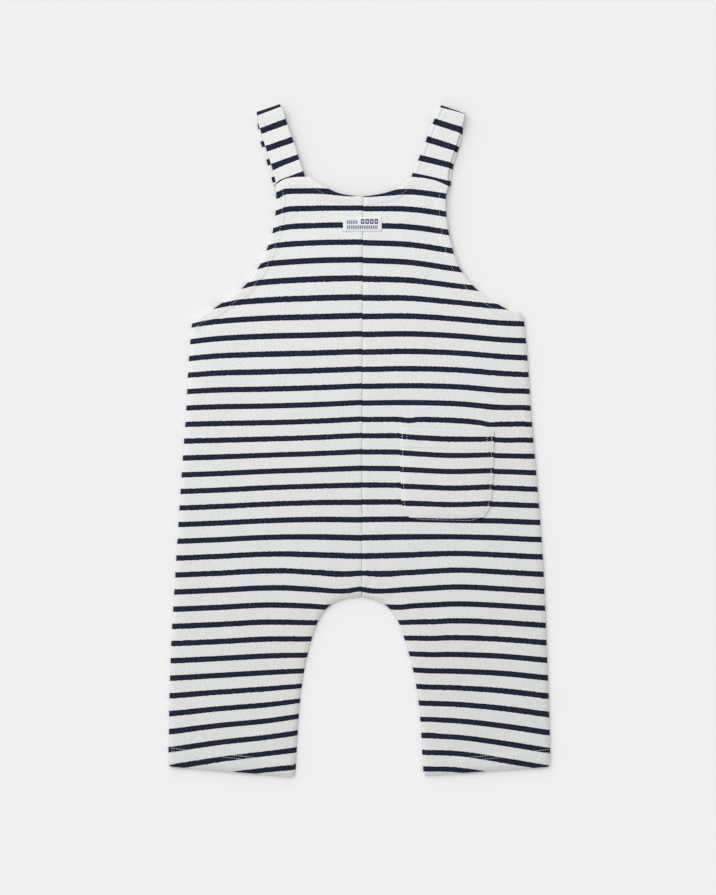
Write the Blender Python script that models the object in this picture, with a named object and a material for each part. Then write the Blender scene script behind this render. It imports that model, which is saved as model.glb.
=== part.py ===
"""Baby dungarees in striped cotton fleece, laid flat on a surface with the back up.

The frame is in metres with +Z up. +Y runs from the leg hems to the straps, +X to the
wearer's right, and the origin is under the middle of the garment, on the surface.
All lengths below are in millimetres; MM turns them into metres when a mesh is made.

Each half of the back and of the front is one cut piece from bib to leg hem. Its wall
is drawn through sections that run from its inner edge (inseam, then centre seam) to
its outer edge (side seam, then armhole).
"""

import math
from collections import namedtuple

import bmesh
import bpy
import numpy as np

MM = 0.001

# Cloth and seams
CLOTH_WALL = 1.4
STRAP_WALL = 2.0
LABEL_WALL = 0.6
SEAM_GAP = 0.3
EDGE_ROUND = 0.8
EDGE_SHARE = 0.45

# How the back lies on the front
PUFF = 1.2
PUFF_REACH = 16.0
FOLD_REACH = 10.0

# Hems: the depth of the turning, and what it adds to the wall
LEG_HEM = 11.4
BIB_HEM = 6.5
HEM_EXTRA = 0.4
HEM_STEP = 2.2

# The neck hem's rows of points, in sections down from the top of the bib
NECK_EDGE = 0.09
NECK_HEM = 0.85
NECK_STEP = 1.15

# How many sections lower the front's bib ends, and how much higher its leg hem does
FRONT_DROP = 0.7
FRONT_HEM_RISE = 1.0

# How far the front reaches past the back: at the left inseam, where it fades out over
# sections of the leg, and at each section of the right armhole
INSEAM_PEEK = 1.1
INSEAM_PEEK_END = 6
INSEAM_PEEK_FADE = 2
ARMHOLE_PEEK = (0.0, 0.0, 0.0, 0.4, 2.2, 2.2, 1.6, 1.2, 0.9, 0.8)

# The section from which a bib's rows bend to follow the neckline, and how many sections
# below the top they follow it in full
BEND_START = 2.0
BEND_FULL = 1.0

# Columns of points beside the centre seam, and below a strap beside the armhole. A
# half's reach gives two more, from the armhole: the bib's corner and the strap's side
SEAM_SIDE = 6.0
STRAP_SIDE = 17.0

# Straps. STRAP_SHORT is the row of the upper run above which the lower one ends
STRAP_FOLD_RADIUS = 1.9
STRAP_RISE_LENGTH = 18.0
STRAP_SLIP = 2.7
STRAP_SLIP_LENGTH = 30.0
STRAP_END_BOW = 3.0
STRAP_FIRST_ROW = 0.15
STRAP_SHORT = 1
STRAP_EDGE = 0.04
SEAM_POINTS = 6
BIB_LIFT = 0.75
BIB_LIFT_FULL = 12.0
BIB_LIFT_END = 36.0

# Patch pocket, on the right back
POCKET_CORNER = 10.5
POCKET_TOP_DROP = 2.8
POCKET_HEM = 15.0
POCKET_HEM_STEP = 1.5

# Label, across the centre seam
LABEL_WIDTH = 31.6
LABEL_HEIGHT = 11.7
LABEL_X = 2.4
LABEL_Y = 176.7

CREAM = (0.80, 0.79, 0.76)
WHITE = (0.86, 0.87, 0.90)

Section = namedtuple("Section", "inner_x inner_y outer_x outer_y")
Point = namedtuple("Point", "x y")
Reach = namedtuple("Reach", "corner strap")
Half = namedtuple("Half", "leg body bib neckline strap_seam reach")
PocketRow = namedtuple("PocketRow", "y left_x right_x")
Fold = namedtuple("Fold", "x1 y1 x2 y2 rise width")

LEFT = Half(
    leg=[
        Section(-53.9, -275.0, -155.6, -266.6),
        Section(-53.4, -263.4, -155.8, -255.2),
        Section(-52.4, -246.0, -155.5, -239.0),
        Section(-51.1, -225.0, -155.0, -220.0),
        Section(-48.6, -200.2, -154.4, -198.0),
        Section(-43.5, -175.4, -153.7, -174.0),
        Section(-34.9, -148.9, -152.8, -150.0),
        Section(-24.7, -135.9, -151.8, -130.0),
        Section(-12.1, -130.2, -150.8, -113.0),
        Section(1.7, -129.0, -149.9, -98.0),
    ],
    body=[
        Section(1.7, -129.0, -149.9, -98.0),
        Section(1.9, -84.0, -147.4, -58.0),
        Section(2.0, -38.0, -144.4, -18.0),
        Section(2.1, 10.0, -141.6, 22.0),
        Section(2.3, 58.0, -139.4, 62.0),
        Section(2.4, 104.0, -137.2, 97.4),
    ],
    bib=[
        Section(2.4, 104.0, -137.2, 97.4),
        Section(2.5, 124.0, -118.7, 108.7),
        Section(2.6, 143.0, -95.6, 125.8),
        Section(2.65, 157.0, -82.7, 142.2),
        Section(2.7, 169.0, -75.4, 156.9),
        Section(2.8, 179.0, -70.6, 172.4),
        Section(2.85, 187.0, -68.4, 187.0),
        Section(2.9, 193.5, -68.0, 199.0),
        Section(2.95, 199.7, -67.9, 209.3),
    ],
    neckline=[
        Point(2.95, 199.7),
        Point(-9.7, 200.1),
        Point(-19.6, 203.2),
        Point(-29.5, 208.1),
        Point(-40.6, 215.3),
    ],
    strap_seam=[
        Point(-40.6, 215.3),
        Point(-49.5, 215.4),
        Point(-56.8, 214.6),
        Point(-62.6, 212.9),
        Point(-67.9, 209.3),
    ],
    reach=Reach(27.5, 23.9),
)

RIGHT = Half(
    leg=[
        Section(52.6, -274.0, 155.6, -266.8),
        Section(51.7, -262.6, 155.8, -255.4),
        Section(50.9, -246.0, 155.4, -239.0),
        Section(49.5, -225.0, 154.8, -220.0),
        Section(46.4, -200.2, 153.9, -198.0),
        Section(40.7, -174.9, 153.0, -174.0),
        Section(31.7, -147.9, 151.9, -150.0),
        Section(22.0, -135.7, 150.9, -130.0),
        Section(12.0, -130.4, 150.2, -113.0),
        Section(2.0, -129.0, 149.5, -98.0),
    ],
    body=[
        Section(2.0, -129.0, 149.5, -98.0),
        Section(2.2, -84.0, 146.7, -58.0),
        Section(2.3, -38.0, 143.2, -18.0),
        Section(2.4, 10.0, 140.2, 22.0),
        Section(2.6, 58.0, 137.2, 62.0),
        Section(2.65, 98.0, 135.1, 95.0),
        Section(2.7, 104.0, 133.7, 102.0),
    ],
    bib=[
        Section(2.7, 104.0, 133.7, 102.0),
        Section(2.75, 110.0, 130.2, 104.5),
        Section(2.8, 126.0, 118.6, 108.2),
        Section(2.9, 143.0, 97.0, 122.6),
        Section(2.95, 157.0, 84.0, 138.9),
        Section(3.0, 169.0, 77.4, 153.6),
        Section(3.1, 179.0, 73.3, 169.2),
        Section(3.15, 187.0, 71.0, 184.7),
        Section(3.2, 193.5, 70.6, 198.0),
        Section(3.25, 199.5, 72.7, 207.9),
    ],
    neckline=[
        Point(3.25, 199.5),
        Point(14.0, 200.4),
        Point(24.3, 203.3),
        Point(33.2, 207.2),
        Point(39.4, 214.7),
    ],
    strap_seam=[
        Point(39.4, 214.7),
        Point(46.0, 215.6),
        Point(54.0, 214.3),
        Point(63.3, 212.0),
        Point(72.7, 207.9),
    ],
    reach=Reach(33.5, 30.6),
)

# The upper run of each strap, from the bib to the fold
STRAPS = {
    "left": [
        Section(-44.5, 216.2, -67.9, 209.8),
        Section(-49.0, 229.4, -71.2, 222.3),
        Section(-53.6, 243.5, -75.7, 236.6),
        Section(-58.6, 257.8, -80.1, 250.9),
        Section(-64.0, 275.3, -85.2, 268.1),
    ],
    "right": [
        Section(42.4, 216.1, 72.0, 208.8),
        Section(47.8, 228.8, 73.2, 221.0),
        Section(53.3, 242.7, 76.6, 233.5),
        Section(59.2, 257.8, 81.5, 248.0),
        Section(66.0, 274.4, 87.2, 266.8),
    ],
}

POCKET = [
    PocketRow(9.2, 32.9, 110.1),
    PocketRow(-14.0, 33.1, 109.8),
    PocketRow(-38.0, 34.0, 108.8),
    PocketRow(-65.2, 34.8, 105.6),
]

# How many rows of points each stretch between two sections gets
FINE = {"leg": 2, "body": 3, "bib": 2}
COARSE = {"leg": 2, "body": 2, "bib": 2}

# Soft ridges (rise above 0) and troughs in the back, each along a line
FOLDS = [
    Fold(-93.0, 96.0, -93.0, 28.0, 0.45, 17.0),
    Fold(-128.0, -70.0, -118.0, -150.0, -0.35, 13.0),
    Fold(-42.0, -130.0, -56.0, -215.0, -0.5, 11.0),
    Fold(-72.0, -100.0, -84.0, -230.0, 0.4, 14.0),
    Fold(22.0, 14.0, 20.0, -66.0, -0.45, 10.0),
    Fold(55.0, -112.0, 66.0, -205.0, -0.55, 11.0),
    Fold(84.0, -120.0, 96.0, -236.0, 0.4, 14.0),
    Fold(124.0, 20.0, 126.0, -70.0, 0.4, 12.0),
    Fold(-24.0, -98.0, 26.0, -98.0, -0.35, 12.0),
]


def smooth(rows, at):
    """Points of a smooth curve through rows; at counts in rows from the first."""
    values = np.array(rows, float)
    slope = np.gradient(values, axis=0)
    at = np.asarray(at, float)
    low = np.clip(np.floor(at).astype(int), 0, len(values) - 2)
    part = (at - low)[:, None]
    ease = part * part * (3 - 2 * part)
    leave = part * (1 - part) ** 2
    arrive = -(part**2) * (1 - part)
    ends = values[low] * (1 - ease) + values[low + 1] * ease
    return ends + slope[low] * leave + slope[low + 1] * arrive


def ramp(value, start, end):
    """0 up to start, 1 from end on, with a soft turn at both."""
    part = np.clip((np.asarray(value, float) - start) / (end - start), 0.0, 1.0)
    return part * part * (3 - 2 * part)


def from_lines(x, y, starts, ends):
    """How far each point lies from the nearest of some straight lines."""
    best = np.full(np.shape(x), np.inf)
    for (ax, ay), (bx, by) in zip(starts, ends):
        run_x, run_y = bx - ax, by - ay
        long = max(run_x**2 + run_y**2, 1e-9)
        part = np.clip(((x - ax) * run_x + (y - ay) * run_y) / long, 0.0, 1.0)
        best = np.minimum(best, np.hypot(x - ax - part * run_x, y - ay - part * run_y))
    return best


def row_steps(rows):
    """Close steps from the first of some rows to the last, for smooth."""
    return np.linspace(0, len(rows) - 1, (len(rows) - 1) * 4 + 1)


def top_edge(half, x):
    """The height of a half's neckline and strap seam at x."""
    steps = np.linspace(0, len(half.neckline) - 1, 33)
    line = np.vstack([smooth(half.neckline, steps), smooth(half.strap_seam, steps[1:])])
    across = np.abs(line[:, 0] - line[0, 0])
    return np.interp(np.abs(x - line[0, 0]), across, line[:, 1])


def lay_out(half, ends, bend, across):
    """Points of the cloth: across is the share from the inner to the outer edge."""
    x = ends[:, 0:1] * (1 - across) + ends[:, 2:3] * across
    y = ends[:, 1:2] * (1 - across) + ends[:, 3:4] * across
    neck_x, strap_x = half.bib[-1].inner_x, half.bib[-1].outer_x
    top_x = neck_x + (strap_x - neck_x) * across
    straight = half.bib[-1].inner_y * (1 - across) + half.bib[-1].outer_y * across
    return x, y + bend[:, None] * (top_edge(half, top_x) - straight)


def slant(ends, columns):
    """How squarely the sections meet an edge: the sine of the angle between them."""
    edge = np.gradient(ends[:, columns], axis=0)
    row = ends[:, 2:4] - ends[:, 0:2]
    cross = np.abs(edge[:, 0] * row[:, 1] - edge[:, 1] * row[:, 0])
    length = np.hypot(edge[:, 0], edge[:, 1]) * np.hypot(row[:, 0], row[:, 1])
    return np.clip(cross / np.maximum(length, 1e-9), 0.35, 1.0)


def half_grid(half, steps, middle, drop=0.0):
    """A half's points, and what share of the hem's thickening each has."""
    leg_end, body_end, bib_end = len(half.leg) - 1, len(half.body) - 1, len(half.bib) - 1
    top = bib_end - drop
    hem_rows = [EDGE_ROUND / LEG_HEM, 1.0, 1.0 + HEM_STEP / LEG_HEM]
    neck_rows = [top - NECK_STEP, top - NECK_HEM, top - NECK_EDGE, top]
    bib_rows = np.arange(1, (top - NECK_STEP) * steps["bib"]) / steps["bib"]
    stations = {
        "leg": np.union1d(np.linspace(0, leg_end, leg_end * steps["leg"] + 1), hem_rows),
        "body": np.linspace(0, body_end, body_end * steps["body"] + 1)[1:],
        "bib": np.union1d(bib_rows, neck_rows),
    }
    ends = np.vstack([smooth(getattr(half, zone), at) for zone, at in stations.items()])
    zone = np.repeat(list(stations), [len(at) for at in stations.values()])
    at = np.concatenate(list(stations.values()))
    bend = ramp(at, BEND_START, top - BEND_FULL) * (zone == "bib")

    width = np.hypot(ends[:, 2] - ends[:, 0], ends[:, 3] - ends[:, 1])[:, None]
    inner = np.array([0.0, EDGE_ROUND, SEAM_SIDE]) / slant(ends, [0, 1])[:, None] / width
    lines = [*half.reach, STRAP_SIDE, BIB_HEM + HEM_STEP, BIB_HEM, EDGE_ROUND, 0.0]
    outer = 1 - np.array(lines) / slant(ends, [2, 3])[:, None] / width
    outer[:, :2] = 1 - np.array(half.reach) / width
    outer[:, 2] = np.minimum((outer[:, 1] + outer[:, 3]) / 2, outer[:, 2])
    share = np.linspace(0, 1, middle + 1)[1:-1]
    between = inner[:, -1:] + (outer[:, :1] - inner[:, -1:]) * share
    x, y = lay_out(half, ends, bend, np.hstack([inner, between, outer]))

    hem = np.zeros(x.shape)
    hem[(zone == "leg") & (at <= 1.0)] = 1.0
    hem[(zone == "bib") & (at >= top - NECK_HEM)] = 1.0
    hem[zone == "bib", -3:] = 1.0
    return x, y, hem


def outline():
    """The garment's outer lines: starts and ends, without the centre seam."""
    starts, ends = [], []
    for half in (LEFT, RIGHT):
        lines = [smooth([row[:2] for row in half.leg], row_steps(half.leg))]
        for zone in (half.leg, half.body, half.bib):
            lines.append(smooth([row[2:] for row in zone], row_steps(zone)))
        lines.append(np.array([half.leg[0][:2], half.leg[0][2:]]))
        top_x = np.linspace(half.bib[-1].inner_x, half.bib[-1].outer_x, 40)
        lines.append(np.column_stack([top_x, top_edge(half, top_x)]))
        for line in lines:
            starts.extend(line[:-1])
            ends.extend(line[1:])
    return np.array(starts), np.array(ends)


OUTLINE = outline()


def folds(x, y):
    """The soft ridges and troughs of the back."""
    total = np.zeros(np.shape(x))
    for fold in FOLDS:
        run_x, run_y = fold.x2 - fold.x1, fold.y2 - fold.y1
        long = math.hypot(run_x, run_y)
        along = ((x - fold.x1) * run_x + (y - fold.y1) * run_y) / long
        aside = ((x - fold.x1) * run_y - (y - fold.y1) * run_x) / long
        reach = 0.35 * long
        fade = ramp(along, -reach, reach) * (1 - ramp(along, long - reach, long + reach))
        total += fold.rise * fade * np.exp(-((aside / fold.width) ** 2))
    return total


def strap_lift(x, y):
    """What the lower run of each strap adds under the corners of the bib."""
    total = np.zeros(np.shape(x))
    for half in (LEFT, RIGHT):
        seam = np.array(half.strap_seam)
        far = from_lines(x, y, seam[:-1], seam[1:])
        total += BIB_LIFT * (1 - ramp(far, BIB_LIFT_FULL, BIB_LIFT_END))
    return total


def back_underside(x, y):
    """The height of the back's underside over the surface."""
    inside = from_lines(x, y, *OUTLINE)
    puff = PUFF * (1 - np.exp(-inside / PUFF_REACH))
    creases = folds(x, y) * (1 - np.exp(-inside / FOLD_REACH))
    return CLOTH_WALL + SEAM_GAP + puff + creases + strap_lift(x, y)


def rim(shape):
    """1 on the outermost points of a grid and 0 inside it."""
    edge = np.ones(shape)
    edge[1:-1, 1:-1] = 0
    return edge


def add_piece(name, upper, lower, colour, parent):
    """A closed wall between two grids of points, as an object with its own origin."""
    origin = np.array([np.mean(upper[..., axis]) for axis in range(3)])
    work = bmesh.new()
    sheets = []
    for grid in (upper, lower):
        local = (grid - origin) * MM
        sheets.append([[work.verts.new(point) for point in row] for row in local])
    rows, columns = upper.shape[:2]
    for sheet in sheets:
        for i in range(rows - 1):
            for j in range(columns - 1):
                corner = [(i, j), (i, j + 1), (i + 1, j + 1), (i + 1, j)]
                work.faces.new([sheet[a][b] for a, b in corner])
    loop = [(0, j) for j in range(columns)]
    loop += [(i, columns - 1) for i in range(1, rows)]
    loop += [(rows - 1, j) for j in range(columns - 2, -1, -1)]
    loop += [(i, 0) for i in range(rows - 2, 0, -1)]
    for a, b in zip(loop, loop[1:] + loop[:1]):
        top, bottom = sheets
        work.faces.new(
            [top[a[0]][a[1]], top[b[0]][b[1]], bottom[b[0]][b[1]], bottom[a[0]][a[1]]]
        )
    bmesh.ops.recalc_face_normals(work, faces=work.faces)
    mesh = bpy.data.meshes.new(name)
    work.to_mesh(mesh)
    work.free()
    mesh.shade_smooth()
    mesh.set_sharp_from_angle(angle=math.radians(50))
    mesh.materials.append(material(name, colour))
    piece = bpy.data.objects.new(name, mesh)
    piece.location = origin * MM
    piece.parent = parent
    bpy.context.collection.objects.link(piece)
    return piece


def material(name, colour):
    """The piece's own soft, matt cloth."""
    cloth = bpy.data.materials.new(name)
    cloth.use_nodes = True
    shader = cloth.node_tree.nodes["Principled BSDF"]
    shader.inputs["Base Color"].default_value = (*colour, 1.0)
    shader.inputs["Roughness"].default_value = 0.9
    shader.inputs["Metallic"].default_value = 0.0
    return cloth


def stacked(x, y, z):
    return np.stack([x, y, z], axis=-1)


def add_back(name, half, parent):
    """One half of the back: it lies on the front and thickens at its hems."""
    x, y, hem = half_grid(half, FINE, middle=6)
    under = back_underside(x, y)
    upper = under + CLOTH_WALL + HEM_EXTRA * hem
    upper -= rim(x.shape) * CLOTH_WALL * (1 - EDGE_SHARE)
    return add_piece(name, stacked(x, y, upper), stacked(x, y, under), CREAM, parent)


def front_of(side):
    """The cut of one half of the front, which reaches past the back in two places."""
    half = {"left": LEFT, "right": RIGHT}[side]
    leg, bib = list(half.leg), list(half.bib)
    if side == "left":
        for i, row in enumerate(leg):
            peek = INSEAM_PEEK * float(ramp(INSEAM_PEEK_END - i, 0, INSEAM_PEEK_FADE))
            leg[i] = row._replace(inner_x=row.inner_x + peek)
    else:
        bib = [row._replace(outer_x=row.outer_x + peek) for row, peek in zip(bib, ARMHOLE_PEEK)]
    hem = leg[0]
    leg[0] = hem._replace(
        inner_y=hem.inner_y + FRONT_HEM_RISE, outer_y=hem.outer_y + FRONT_HEM_RISE
    )
    return half._replace(leg=leg, bib=bib)


def add_front(name, side, parent):
    """One half of the front, flat on the surface, its bib cut a little lower."""
    x, y, _ = half_grid(front_of(side), COARSE, middle=3, drop=FRONT_DROP)
    under = rim(x.shape) * CLOTH_WALL * (1 - EDGE_SHARE)
    upper = np.full(x.shape, CLOTH_WALL)
    return add_piece(name, stacked(x, y, upper), stacked(x, y, under), CREAM, parent)


def seam_line(half, drop=0.0):
    """The points of a half's strap seam, and how far along it each is, from 0 to 1."""
    x, y, _ = half_grid(half, FINE, middle=2, drop=drop)
    line = np.column_stack([x[-1, -SEAM_POINTS:], y[-1, -SEAM_POINTS:]])
    steps = np.linalg.norm(np.diff(line, axis=0), axis=1)
    along = np.concatenate([[0.0], np.cumsum(steps)])
    return line, along / along[-1]


def seam_points(half, share, drop=0.0):
    """Points just off a half's strap seam, at shares of its length from the neck."""
    line, along = seam_line(half, drop)
    x, y = (np.interp(share, along, line[:, axis]) for axis in (0, 1))
    return np.column_stack([x, y + SEAM_GAP])


def add_strap(name, side, parent):
    """Double cloth from the back bib up, over its fold and down to the front bib."""
    half = {"left": LEFT, "right": RIGHT}[side]
    across = np.union1d(seam_line(half)[1], [STRAP_EDGE])
    inset = np.isin(across, [0.0, 1.0]) * STRAP_WALL * 0.3
    rows = np.array(STRAPS[side], float)
    middle = (rows[:, :2] + rows[:, 2:]) / 2
    ahead = (middle[-1] - middle[-2]) / np.linalg.norm(middle[-1] - middle[-2])
    rows[-1] -= np.tile(ahead, 2) * (STRAP_FOLD_RADIUS + STRAP_WALL / 2)

    up = smooth(rows, np.union1d(np.linspace(0, 4, 13), [STRAP_FIRST_ROW]))
    centres = (up[:, :2] + up[:, 2:]) / 2
    to_fold = np.linalg.norm(centres - centres[-1], axis=1)
    outward = up[:, 2:] - up[:, :2]
    outward /= np.linalg.norm(outward, axis=1)[:, None]
    slip = STRAP_SLIP * ramp(to_fold, 0, STRAP_SLIP_LENGTH)
    down = (up + np.tile(outward * slip[:, None], 2))[:STRAP_SHORT:-1]

    low, fold_top = STRAP_WALL / 2, STRAP_WALL / 2 + 2 * STRAP_FOLD_RADIUS
    flat_top = STRAP_WALL * 1.5 + SEAM_GAP * 1.5
    climb = 1 - ramp(to_fold, 0, STRAP_RISE_LENGTH)
    facing_up, facing_down = np.array([0, 0, 1.0]), np.array([0, 0, -1.0])
    rings = []

    def ring(points, height, normal):
        middle_line = np.column_stack([points, np.full(len(points), height)])
        thick = (STRAP_WALL / 2 - inset)[:, None] * normal
        rings.append((middle_line + thick, middle_line - thick))

    def between(ends):
        return ends[:2] + (ends[2:] - ends[:2]) * across[:, None]

    bow = seam_points(half, across) - between(up[0])
    away = np.linalg.norm(centres - centres[0], axis=1)
    for ends, part, far in zip(up, climb, away):
        points = between(ends) + bow * (1 - ramp(far, 0, STRAP_END_BOW))
        ring(points, flat_top + (fold_top - flat_top) * part, facing_up)
    for angle in np.linspace(0, math.pi, 9)[1:-1]:
        reach = np.tile(ahead, 2) * STRAP_FOLD_RADIUS * math.sin(angle)
        height = low + STRAP_FOLD_RADIUS * (1 + math.cos(angle))
        normal = np.array([*(ahead * math.sin(angle)), math.cos(angle)])
        ring(between(up[-1] + reach), height, normal)
    for ends in down:
        ring(between(ends), low, facing_down)
    ring(seam_points(front_of(side), across, FRONT_DROP), low, facing_down)
    outer, inner = (np.array([pair[k] for pair in rings]) for k in (0, 1))
    return add_piece(name, outer, inner, CREAM, parent)


def add_pocket(name, parent):
    """The patch pocket, made from the back's own points, moved out."""
    top, bottom = POCKET[0].y, POCKET[-1].y
    corner = bottom + POCKET_CORNER * (1 - np.cos(np.linspace(0, math.pi / 2, 7)))
    middle = np.linspace(corner[-1], top - POCKET_HEM - POCKET_HEM_STEP, 5)[1:]
    hem_rows = top - np.array([POCKET_HEM, POCKET_HEM / 2, EDGE_ROUND, 0.0])
    y_rows = np.concatenate([corner, middle, hem_rows])
    at = np.interp(-y_rows, [-row.y for row in POCKET], range(len(POCKET)))
    sides = smooth([row[1:] for row in POCKET], at)
    down = np.clip(POCKET_CORNER - (y_rows - bottom), 0, POCKET_CORNER)
    inset = POCKET_CORNER - np.sqrt(POCKET_CORNER**2 - down**2)
    left, right = sides[:, 0] + inset, sides[:, 1] - inset
    width = (right - left)[:, None]
    edge = EDGE_ROUND / (POCKET[0].right_x - POCKET[0].left_x)
    share = np.concatenate([[0.0, edge], np.linspace(0, 1, 9)[1:-1], [1 - edge, 1.0]])
    x = left[:, None] + width * share
    drop = POCKET_TOP_DROP * ramp(y_rows, bottom, top)[:, None]
    y = y_rows[:, None] + drop * (0.5 - share)
    under = back_underside(x, y) + CLOTH_WALL + SEAM_GAP
    hem = (y_rows >= top - POCKET_HEM)[:, None] * HEM_EXTRA
    upper = under + CLOTH_WALL + hem - rim(x.shape) * CLOTH_WALL * (1 - EDGE_SHARE)
    return add_piece(name, stacked(x, y, upper), stacked(x, y, under), CREAM, parent)


def add_label(name, parent):
    """The small woven label, sewn flat across the centre seam."""
    across = np.linspace(-LABEL_WIDTH / 2, LABEL_WIDTH / 2, 9) + LABEL_X
    up = np.linspace(-LABEL_HEIGHT / 2, LABEL_HEIGHT / 2, 4) + LABEL_Y
    x, y = np.meshgrid(across, up)
    under = back_underside(x, y) + CLOTH_WALL + SEAM_GAP
    upper = under + LABEL_WALL - rim(x.shape) * LABEL_WALL * (1 - EDGE_SHARE)
    return add_piece(name, stacked(x, y, upper), stacked(x, y, under), WHITE, parent)


def main():
    for old in list(bpy.data.objects):
        bpy.data.objects.remove(old, do_unlink=True)
    garment = bpy.data.objects.new("dungarees", None)
    bpy.context.collection.objects.link(garment)
    add_back("back_left", LEFT, garment)
    add_back("back_right", RIGHT, garment)
    add_front("front_left", "left", garment)
    add_front("front_right", "right", garment)
    add_strap("strap_left", "left", garment)
    add_strap("strap_right", "right", garment)
    add_pocket("back_pocket", garment)
    add_label("back_label", garment)
    bpy.context.view_layer.update()


main()
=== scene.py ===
"""Striped baby dungarees, laid flat with the back up: the looks over the packed solids.

Run it as a script. Tables and shaping code are in millimetres, and MM turns them into
metres when a mesh is made. A half is one cut piece from bib to leg hem, given by sections
that run from its inner edge (inseam, then centre seam) to its outer edge (side seam, then
armhole). Every cloth piece carries a map named "cut": across the cloth in stripe repeats,
and along it in stripes, whole numbers at their middles.
"""

import math
from collections import namedtuple
from functools import partial

import bpy
import numpy as np
from bpy.props import FloatProperty, FloatVectorProperty, PointerProperty
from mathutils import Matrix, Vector


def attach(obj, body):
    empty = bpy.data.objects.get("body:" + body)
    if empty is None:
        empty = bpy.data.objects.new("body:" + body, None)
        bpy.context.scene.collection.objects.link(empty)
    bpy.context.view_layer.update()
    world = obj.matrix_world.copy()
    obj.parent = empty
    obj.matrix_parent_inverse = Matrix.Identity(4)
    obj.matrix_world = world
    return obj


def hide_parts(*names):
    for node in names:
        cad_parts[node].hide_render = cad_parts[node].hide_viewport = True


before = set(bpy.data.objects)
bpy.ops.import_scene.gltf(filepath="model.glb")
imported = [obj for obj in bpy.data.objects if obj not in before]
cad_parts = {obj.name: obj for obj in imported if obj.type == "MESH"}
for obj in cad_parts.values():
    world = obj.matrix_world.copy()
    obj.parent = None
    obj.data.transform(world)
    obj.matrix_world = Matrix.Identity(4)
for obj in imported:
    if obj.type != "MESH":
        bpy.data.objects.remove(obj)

bl_info = {
    "name": "Striped dungarees",
    "version": (1, 0, 0),
    "blender": (4, 5, 0),
    "location": "3D Viewport > Sidebar > Dungarees",
    "description": "Baby dungarees in striped fleece, laid flat, with their sewing",
    "category": "Object",
}

MM = 0.001
MAP = "cut"
REPEAT = 13.9
TINY = 1e-9

# Cloth and seams; a rounded edge takes this share of the wall from each face
CLOTH_WALL = 1.4
STRAP_WALL = 2.0
LABEL_WALL = 0.6
SEAM_GAP = 0.3
EDGE_SHARE = 0.46

# The grids: rows of points at these distances from an edge, and even ones further in
EDGE_STEPS = (0.0, 0.06, 0.2, 0.42, 0.75, 1.2)
EDGE_CLEAR = 0.6
LEAST_SLANT = 0.35

# The measured edges: steps from section to section, points along half of the top, and
# points on a quarter circle
LINE_STEPS = 4
TOP_POINTS = 33
ARC_POINTS = 9

# How the back lies on the front
PUFF = 1.2
PUFF_REACH = 16.0
FOLD_REACH = 10.0
FOLD_FADE = 0.35

# Hems: their turnings, which end over a step, and how the front's are shorter
LEG_HEM = 11.4
BIB_HEM = 6.5
HEM_EXTRA = 0.4
BIB_HEM_EXTRA = 0.75
LEG_STEP = (0.5, 2.0)
BIB_STEP = (5.8, 8.7)
FRONT_DROP = 0.7
FRONT_HEM_RISE = 0.3
HEM_CORNER = 2.9

# How far the front reaches past the back, by the section
INSEAM_PEEK = 1.1
INSEAM_PEEK_END = 6
INSEAM_PEEK_FADE = 2
ARMHOLE_PEEK = (0.0, 0.0, 0.0, 0.4, 2.2, 2.2, 1.6, 1.2, 0.9, 0.8)

# The front's armhole is bound this wide in plain cloth, which lies midway between stripes
FRONT_BINDING = 3.5
PLAIN = 0.5

# Sections of the bib between which its rows bend to follow the neckline
BEND_START = 2.0
BEND_FULL = 1.0

# Straps: the fold, how the lower run slips outwards, how the bib lifts to lie on it, and
# the steps of the grid
STRAP_FOLD_RADIUS = 1.9
STRAP_RISE_LENGTH = 18.0
STRAP_SLIP = 2.7
STRAP_SLIP_LENGTH = 20.0
BIB_LIFT = 0.75
BIB_LIFT_FULL = 12.0
BIB_LIFT_END = 36.0
STRAP_COLUMNS = 45
STRAP_EDGE_COLUMNS = 3
STRAP_FIRST_STEPS = (0.0, 0.02, 0.06, 0.12)
STRAP_EVEN_START = 0.2
STRAP_STEPS = 50
STRAP_FOLD_STEPS = 17
BIB_EDGE_GRID = 2.0

# A strap's two ends, and the crease along its inner edge
STRAP_TUCK = 0.12
STRAP_END_BOW = 3.0
STRAP_CORNER = 0.9
STRAP_CORNER_LENGTH = 2.5
STRAP_END_GAP = 0.15
STRAP_LAST_STEP = 0.4
STRAP_CREASE = {"left": 0.12, "right": 0.35}
STRAP_CREASE_AT = {"left": 3.6, "right": 4.4}
STRAP_CREASE_WIDTH = 0.7
STRAP_RIM_RISE = 0.5
STRAP_RIM_EASE = 1.2
STRAP_CREASE_START = 8.0

# Patch pocket, on the right back; its sides are pressed thin, the outer one less
POCKET_CORNER = 16.5
POCKET_TOP_DROP = 2.8
POCKET_BOTTOM_DROP = 1.4
POCKET_HEM = 15.0
POCKET_HEM_STEP = 1.5
POCKET_ROWS = (13.0, 15.0)
POCKET_ROW_SPAN = (0.012, 0.988, 9)
POCKET_LEAN_ROUNDS = 4
POCKET_SEW = 2.1
POCKET_DIP = 0.14
POCKET_PRESS = (0.8, 0.3)
POCKET_PRESS_TURN = (88.0, 104.0)
POCKET_PRESS_REACH = 2.0
POCKET_GAP = 0.5
POCKET_GAP_PRESS = 0.48
POCKET_UNDER_ROUND = 0.3
POCKET_PUFF = 0.35
POCKET_PUFF_RISE = (1.0, 9.0)
POCKET_SIDE_POINTS = 12
POCKET_CORNER_STEPS = 22
POCKET_TOP_CLEAR = 1.6
POCKET_EVEN_REACH = 0.478

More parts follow.
